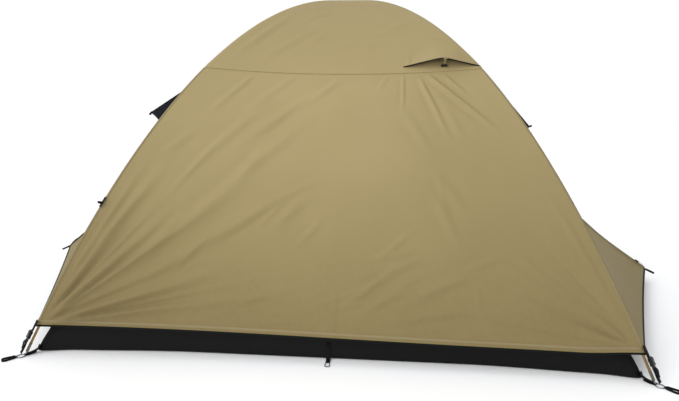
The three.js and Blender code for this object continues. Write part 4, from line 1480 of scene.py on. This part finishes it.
def make_end_vents():
    """An eyelid in the roof of each end, bound along its open edge and held up by a prop."""
    for end, turn in ENDS:
        t = 0.5 - 0.5 * np.cos(np.linspace(0.015, math.pi - 0.015, 70))
        edge, brow = vent_edge(t, turn), vent_brow(t, turn)
        reach = np.linalg.norm(brow - edge, axis=1, keepdims=True)
        knee = edge + unit(vent_edge(t, turn, 0.004) - edge) * 0.55 * reach
        s = np.linspace(0, 1, 30)[None, :, None]
        grid = edge[:, None] * (1 - s) ** 2 + knee[:, None] * 2 * s * (1 - s) + brow[:, None] * s ** 2
        normal = turn_z(wall_normal(np.array([1.13])), turn * math.pi / 2)[0]
        grain = np.sin(21 * t + 2 * turn)[:, None] * s[..., 0] ** 2 * (1 - s[..., 0]) * 0.010
        grid = grid + grain[..., None] * np.sin(math.pi * t)[:, None, None] * normal
        anchor = (edge[len(edge) // 2] + brow[0]) / 2
        squash = dict(joint=f"end_vent_{end}_hood", axis=tuple(normal), anchor=tuple(anchor), keep=0.35)
        centre = turn_z([(0.43, -0.45, 1.0)], turn * math.pi / 2)[0]
        piece = cloth(f"end_vent_eyelid_{end}", [grid], FLY, "tent", [f"end_vent_hood_{end}"], centre=centre)
        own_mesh(piece)

        def lip(k, d, turn=turn):
            low, high = vent_brow(k, turn), vent_edge(k, turn)
            return low + unit(high - low) * d

        line = np.linspace(0.012, 0.988, 70)
        edge_tape(f"end_vent_lip_{end}", lip, line, 0.0045, thick=0.0012, squash=squash)
        make_prop(end, turn)


def make_prop(end, turn):
    """Cloth-covered folding prop with a broad dark pad at its foot."""
    low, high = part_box(f"end_vent_prop_{end}")
    normal, down = turn_z([PROP_OUT, PROP_DOWN], turn * math.pi / 2)
    across = turn_z([(1.0, 0, 0)], turn * math.pi / 2)[0]
    foot = (np.array(low) + np.array(high)) / 2 - normal * 0.0235 - across * 0.012 + down * 0.008

    def place(a, b, c):
        return foot + a[:, None] * across + c[:, None] * down + b[:, None] * normal

    blade = both_halves([(0.006, 0.0), (0.004, 0.038), (0.008, 0.040), (0.008, 0.043)])
    pad = both_halves([(0.013, -0.0018), (0.010, 0.008), (0.004, 0.0115)])
    build(f"end_vent_strut_{end}", [slab(blade, -0.0016, 0.0016, place)], FLY_SEAM, f"end_prop_{end}",
          [f"end_vent_prop_{end}"])
    build(f"end_vent_pad_{end}", [slab(pad, -0.0036, 0.0036, place)], PLASTIC, f"end_prop_{end}")


LEAN = math.atan2(float(arch_half(1.070) - arch_half(1.200)), 0.130)
PROP_OUT = (0.0, -math.cos(LEAN), math.sin(LEAN))
PROP_DOWN = (0.0, -math.sin(LEAN), -math.cos(LEAN))
SIDE_VENT = {"z": 0.978, "y": -0.466, "length": 0.196, "half": 0.174, "top_half": 0.160}
SIDE_OPEN = {"right": math.radians(9), "left": math.radians(25)}
SIDE_BULGE = {"right": 0.005, "left": 0.010}


def side_hood_grid(opened, bulge, stretch=1.0):
    """The flap of a side vent, turned outwards from the wall about its top seam."""
    lean = math.atan2(float(arch_half(0.820) - arch_half(SIDE_VENT["z"])), SIDE_VENT["z"] - 0.820)
    turn = lean + opened
    down = np.array([math.sin(turn), 0, -math.cos(turn)])
    out = np.array([math.cos(turn), 0, math.sin(turn)])
    t = np.linspace(-1, 1, 50)[:, None, None]
    s = np.linspace(0, 1, 24)[None, :, None]
    width = SIDE_VENT["top_half"] + (SIDE_VENT["half"] - SIDE_VENT["top_half"]) * s
    hinge = np.array([float(arch_half(SIDE_VENT["z"])) + 0.004, SIDE_VENT["y"], SIDE_VENT["z"]])
    length = SIDE_VENT["length"] * stretch * (1 - 0.12 * t ** 4)
    puff = bulge * (1 - t ** 2) * s + 0.0015 * np.sin(19 * t) * s
    return hinge + t * width * ALONG_Y + s * length * down + puff * out


def make_side_vents():
    for side, sign in SIDES:
        body = f"side_hood_{side}"
        grid = mirror(side_hood_grid(SIDE_OPEN[side], SIDE_BULGE[side]), sign)
        cloth(f"side_vent_flap_{side}", [grid], FLY, body, [f"side_vent_hood_{side}"])
        make_side_vent_trim(side, sign, grid, body)
        make_gusset(side, sign)


def make_side_vent_trim(side, sign, grid, body):
    """Binding on the three free edges, a pull tab at one corner, and the seam along the top."""
    lip = along_edge(grid[:, -1], grid[:, -5])
    edge_tape(f"side_vent_lip_{side}", lip, np.linspace(0.005, 0.995, 60), 0.007, body, thick=0.0013)
    for column, inner, name in ((0, 3, "near"), (-1, -4, "far")):
        edge, inward = grid[column], unit(grid[inner] - grid[column])

        def side_edge(k, d, edge=edge, inward=inward):
            return (edge + inward * d)[k]

        rows = np.arange(1, len(edge))
        edge_tape(f"side_vent_edge_{name}_{side}", side_edge, rows, 0.006, body, thick=0.0013)
    way = unit(np.array([0.9 * sign, 0, 0.3 if side == "right" else -1.0]))
    path = grid[3, -1] + np.linspace(-0.005, 0.011, 6)[:, None] * way
    section = flat_profile(-0.006, 0.006, 0.0070, -0.0035)
    tab = bar(path, ALONG_Y, unit(np.cross(way, ALONG_Y)), section)
    build(f"side_vent_pull_{side}", [tab], WEBBING, body)
    seam, rise = grid[:, 0], 0.004 * UP
    ribbon(f"side_vent_seam_{side}", seam + rise, seam - rise, 0.0009, FLY_SEAM, body)


def make_gusset(side, sign):
    """Dark mesh skirt between the open flap's edge and the fly."""
    rims = []
    for place in ((SIDE_OPEN[side] - 0.01, 0.8 * SIDE_BULGE[side], 1.0), (-math.radians(1.5), 0.0, 1.09)):
        hood = side_hood_grid(*place)
        rims.append(np.concatenate([hood[0, 2:-1], hood[:, -1], hood[-1, -2:1:-1]]))
    outer, wall = rims
    outer = outer - unit(outer - wall) * 0.0012
    s = np.linspace(0, 1, 12)[None, :, None]
    t = np.linspace(0, 1, len(outer))
    low = smooth(0.0, 0.3, t) * smooth(1.0, 0.7, t)
    tuck = np.sin(math.pi * s) * 0.008 * low[:, None, None] * np.array([-0.3, 0, 1.0])
    grid = mirror(outer[:, None] * (1 - s) + wall[:, None] * s + tuck, sign)
    piece = cloth(f"side_vent_gusset_{side}", [grid], GUSSET, "tent", centre=(0, 0, 0.9), thickness=0.0005)
    if side == "left":
        axis, anchor = tuple(mirror([(0.8, 0, 0.6)], sign)[0]), tuple(grid[len(grid) // 2, -1])
        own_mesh(piece)


# ---- Zip sliders ------------------------------------------------------------------
SLIDER_SEAT = {"right": np.array([0.003, -0.009, 0.006]), "left": np.array([-0.002, -0.013, -0.003])}


def make_sliders():
    for side, sign in SIDES:
        low, high = ridge_point(0.93, side), ridge_point(0.35, side)
        place_slider(f"vestibule_zip_slider_{side}", f"vestibule_slider_{side}", sign,
                     low + SLIDER_SEAT[side], high - low, (1, -0.5 * (side == "left"), 1))
        u = -(DOOR_U + 0.022)
        heights = np.array([DOOR_LOW + 0.060, DOOR_HIGH - 0.060])
        ends = gore_point(np.array([u, u]), heights, 0)
        place_slider(f"inner_zip_slider_{side}", f"inner_slider_{side}", sign,
                     ends[0] + np.array([0.002, 0, 0.002]), ends[1] - ends[0], (1, 0, 0.5))


def place_slider(node, body, sign, origin, forward, above):
    """A slider of two plates and a bridge, with its pull tab lying back along the zip."""
    forward = unit(np.asarray(forward, float))
    right = unit(np.cross(forward, np.asarray(above, float)))
    top = unit(np.cross(right, forward))

    def place(a, b, c):
        return mirror(origin + a[:, None] * right + b[:, None] * forward + c[:, None] * top, sign)

    shell = [(-0.0042, -0.0105), (0.0042, -0.0105), (0.005, -0.006), (0.0042, 0.003), (0.005, 0.009),
             (0.003, 0.011), (-0.003, 0.011), (-0.005, 0.009), (-0.0042, 0.003), (-0.005, -0.006)]
    tab = [(-0.0018, -0.006), (0.0018, -0.006), (0.003, -0.016), (0.003, -0.038), (0.0012, -0.0415),
           (-0.0012, -0.0415), (-0.003, -0.038), (-0.003, -0.016)]
    bridge = [(-0.0017, -0.009), (0.0017, -0.009), (0.0017, 0.004), (-0.0017, 0.004)]
    parts = [slab(shell, 0.0, 0.0020, place), slab(shell, 0.0030, 0.0049, place),
             slab(bridge, 0.0015, 0.0062, place, 0.0005), slab(tab, 0.0054, 0.0070, place)]
    build(f"{node}_body", parts, PLASTIC, body, [node])


# ---- Corners ------------------------------------------------------------------------
LEG_LEAN = math.atan2((FOOT - float(arch_half(HEM))) * math.sqrt(2), HEM)
RING_R, RING_Z = 0.014, 0.0022


def at_corner(points, angle):
    """Points given from a pole's foot, x outwards, carried to their corner of the tent."""
    points = np.asarray(points, float) + np.array([FOOT * math.sqrt(2), 0, 0])
    return turn_z(points, angle)


def make_corner(corner, angle):
    make_ring_and_pin(corner, angle)
    make_corner_strap(corner, angle)
    make_stake_loop(corner, angle)
    make_buckle(corner, angle)


def make_ring_and_pin(corner, angle):
    """Steel ring with a collared pin that stands in the end of the pole."""
    turn = np.arange(40) * 2 * math.pi / 40
    ring = np.stack([RING_R * np.cos(turn), RING_R * np.sin(turn), 0 * turn + RING_Z], -1)
    up = np.array([-math.sin(LEG_LEAN), 0, math.cos(LEG_LEAN)])
    foot = np.array([-RING_R, 0, RING_Z])
    pin = foot + up * np.linspace(0, 0.034, 10)[:, None]
    collar = foot + up * np.linspace(0.0005, 0.006, 5)[:, None]
    side = across_leg(angle)
    parts = [
        round_bar(at_corner(ring, angle), 0.002, UP, 12, True),
        round_bar(at_corner(pin, angle), 0.0024, side, 12),
        round_bar(at_corner(collar, angle), 0.0036, side, 12),
    ]
    build(f"ring_and_pin_{corner}", parts, STEEL, "tent", [f"ring_pin_{corner}"])


def make_corner_strap(corner, angle):
    """Webbing from the tub's corner seam down to the ring, turned round its wire and sewn back."""
    heights = np.linspace(0.028, 0.014, 4)
    edge = (tub_wall_half(heights) + corner_pull(1.0, heights) - FOOT) * math.sqrt(2)
    down = np.stack([edge + 0.0018, 0 * heights, heights], -1)
    over = np.array([(-0.047, 0, 0.0100), (-0.038, 0, 0.0078), (-0.026, 0, 0.0060)])
    turn = np.linspace(math.pi / 2, -math.pi / 2, 8)
    around = np.stack([0.0034 * np.cos(turn) - 0.0141, 0 * turn, RING_Z + 0.0031 * np.sin(turn)], -1)
    around = around[around[:, 2] > 0.0006]
    back = np.array([(-0.026, 0, 0.0012), (-0.040, 0, 0.0030), (-0.050, 0, 0.0048)])
    path = np.concatenate([down, over, around[1:-1], back])
    lift = turn_z(perpendicular(path, ALONG_Y), angle)
    section = flat_profile(-0.0085, 0.0085, 0.0016, -0.0008)
    strap = bar(at_corner(path, angle), across_leg(angle), lift, section)
    build(f"corner_webbing_{corner}", [strap], WEBBING, "tent", [f"corner_strap_{corner}"])


def make_stake_loop(corner, angle):
    """Loop of webbing on edge, held to the ring by a flat tongue."""
    loop = loop_path(0.0205, 0.0395, 0.0062, 0.0105)
    path = np.stack([loop[:, 0], loop[:, 1], 0 * loop[:, 0] + 0.0013], -1)
    _, side, _ = frames_along(path, UP, True)
    section = flat_profile(-0.0010, 0.0014, 0.0076, -0.0008)
    strap = bar(at_corner(path, angle), turn_z(side, angle), UP, section, True)
    neck = np.array([(0.0135, 0, 0.0047), (0.0160, 0, 0.0046), (0.0185, 0, 0.0030), (0.0205, 0, 0.0022)])
    section = flat_profile(-0.0065, 0.0065, 0.0022, -0.0006)
    tongue = bar(at_corner(neck, angle), across_leg(angle), UP, section)
    build(f"stake_strap_{corner}", [strap, tongue], WEBBING, f"loop_{corner}", [f"stake_loop_{corner}"])


def buckle_place(angle):
    """Frame of a buckle on its leg: y across, z up the leg from the hem, x outwards."""
    origin = np.array([(float(arch_half(HEM)) - FOOT) * math.sqrt(2) + 0.001, 0, HEM])
    c, s = math.cos(-LEG_LEAN), math.sin(-LEG_LEAN)
    x_axis, z_axis = np.array([c, 0, -s]), np.array([s, 0, c])

    def place(y, z, x):
        local = origin + x[:, None] * x_axis + y[:, None] * ALONG_Y + z[:, None] * z_axis
        return at_corner(local, angle)

    return place


def make_buckle(corner, angle):
    place = buckle_place(angle)
    make_buckle_socket(corner, place)
    make_buckle_plug(corner, place)
    make_buckle_strap(corner, place, across_leg(angle))


def make_buckle_socket(corner, place):
    """Two waisted plates with a rib and a slot bar between, on a tab sewn to the fly's hem."""
    half = [
        (0.0, -0.018), (0.0095, -0.018), (0.0125, -0.021), (0.0130, -0.029), (0.0112, -0.0315),
        (0.0108, -0.0395), (0.0128, -0.042), (0.0130, -0.046), (0.0, -0.046),
    ]
    outline = np.array(half + [(-y, z) for y, z in half[-2:0:-1]])
    rib = [(-0.0104, -0.0185), (0.0104, -0.0185), (0.0104, -0.0225), (-0.0104, -0.0225)]
    slot_bar = [(-0.011, -0.0165), (0.011, -0.0165), (0.011, -0.0185), (-0.011, -0.0185)]
    shell = [
        slab(outline, 0.0012, 0.0038, place), slab(outline, 0.0080, 0.0112, place),
        slab(rib, 0.0025, 0.0090, place), slab(slot_bar, 0.0026, 0.0066, place),
    ]
    build(f"buckle_socket_{corner}", shell, PLASTIC, f"buckle_{corner}", [f"fly_buckle_female_{corner}"])
    tab = slab([(-0.010, -0.0195), (0.010, -0.0195), (0.010, 0.024), (-0.010, 0.024)],
               0.0022, 0.0034, place, 0.0004)
    build(f"buckle_hem_tab_{corner}", [tab], WEBBING, f"buckle_{corner}")


def make_buckle_plug(corner, place):
    """Base plate with three prongs that reach into the socket."""
    base = [
        (-0.012, -0.0600), (0.012, -0.0600), (0.0125, -0.0530), (0.0105, -0.0466),
        (-0.0105, -0.0466), (-0.0125, -0.0530),
    ]
    male = [slab(base, 0.0040, 0.0076, place)]
    for y in (-0.0086, 0.0, 0.0086):
        prong = [
            (y - 0.0016, -0.0480), (y + 0.0016, -0.0480), (y + 0.0014, -0.0265), (y, -0.0250),
            (y - 0.0014, -0.0265),
        ]
        male.append(slab(prong, 0.0044, 0.0071, place, 0.0005))
    build(f"buckle_plug_{corner}", male, PLASTIC, "tent", [f"fly_buckle_male_{corner}"])


def make_buckle_strap(corner, place, side):
    """Adjusting strap down to the ring, and its loose second layer, bowed away from the first."""
    t = np.linspace(0, 1, 12)
    strip = place(0 * t, -0.057 - 0.046 * t, 0.0056 - 0.0015 * np.sin(math.pi * t))
    section = flat_profile(-0.0098, 0.0098, 0.0030, -0.0015)
    strap = bar(strip, side, perpendicular(strip, side), section)
    t = np.linspace(0, 1, 16)
    stand = 0.0078 + 0.0042 * np.sin(math.pi * t) * (1 + 0.4 * np.sin(7 * t))
    loose = place(0 * t, -0.052 - 0.036 * t, stand)
    section = flat_profile(-0.0090, 0.0090, 0.0016, -0.0008)
    tail = bar(loose, side, perpendicular(loose, side), section)
    build(f"buckle_strap_{corner}", [strap, tail], WEBBING, "tent")


def make_vestibule_loops():
    """Loop of webbing on edge at each vestibule's tip, with a tongue sewn on to the ridge."""
    slope = 0.43
    loop = loop_path(0.009, 0.042, 0.0065, 0.0110)
    for side, sign in SIDES:
        tip = ridge_point(1.0, side)
        x = tip[0] + loop[:, 0] * math.cos(slope)
        z = tip[2] - 0.0011 - loop[:, 0] * math.sin(slope)
        path = mirror(np.stack([x, loop[:, 1], z], -1), sign)
        normal = np.array([sign * math.sin(slope), 0, math.cos(slope)])
        _, across, _ = frames_along(path, normal, True)
        strap = bar(path, across, normal, flat_profile(-0.0014, 0.0016, 0.0096, -0.0048), True)
        rise = np.array([(-0.030, 0, 0.020), (-0.015, 0, 0.012), (0.002, 0, 0.001), (0.010, 0, -0.005)])
        root = mirror(tip + rise, sign)
        _, wide, lift = frames_along(root, normal)
        tongue = bar(root, wide, lift * np.sign(lift[:, 2:]), flat_profile(-0.007, 0.007, 0.0014))
        build(f"vestibule_strap_{side}", [strap, tongue], WEBBING, f"vestibule_loop_{side}",
              [f"vestibule_stake_loop_{side}"])


def finish_cad():
    """The apex clip is kept from the frame and takes the plastic finish."""
    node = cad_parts["apex_clip"]
    node.data.materials.clear()
    node.data.materials.append(PLASTIC)


# ---- The tent -----------------------------------------------------------------------
add_camera()
add_studio()
make_cap()
make_ends()
make_sides()
make_leg_seams()
make_guy_points()
make_poles()
make_inner()
make_tub()
make_floor_tabs()
make_clips()
make_end_vents()
make_side_vents()
make_sliders()
for corner_name, corner_angle, _ in LEGS:
    make_corner(corner_name, corner_angle)
make_vestibule_loops()
finish_cad()
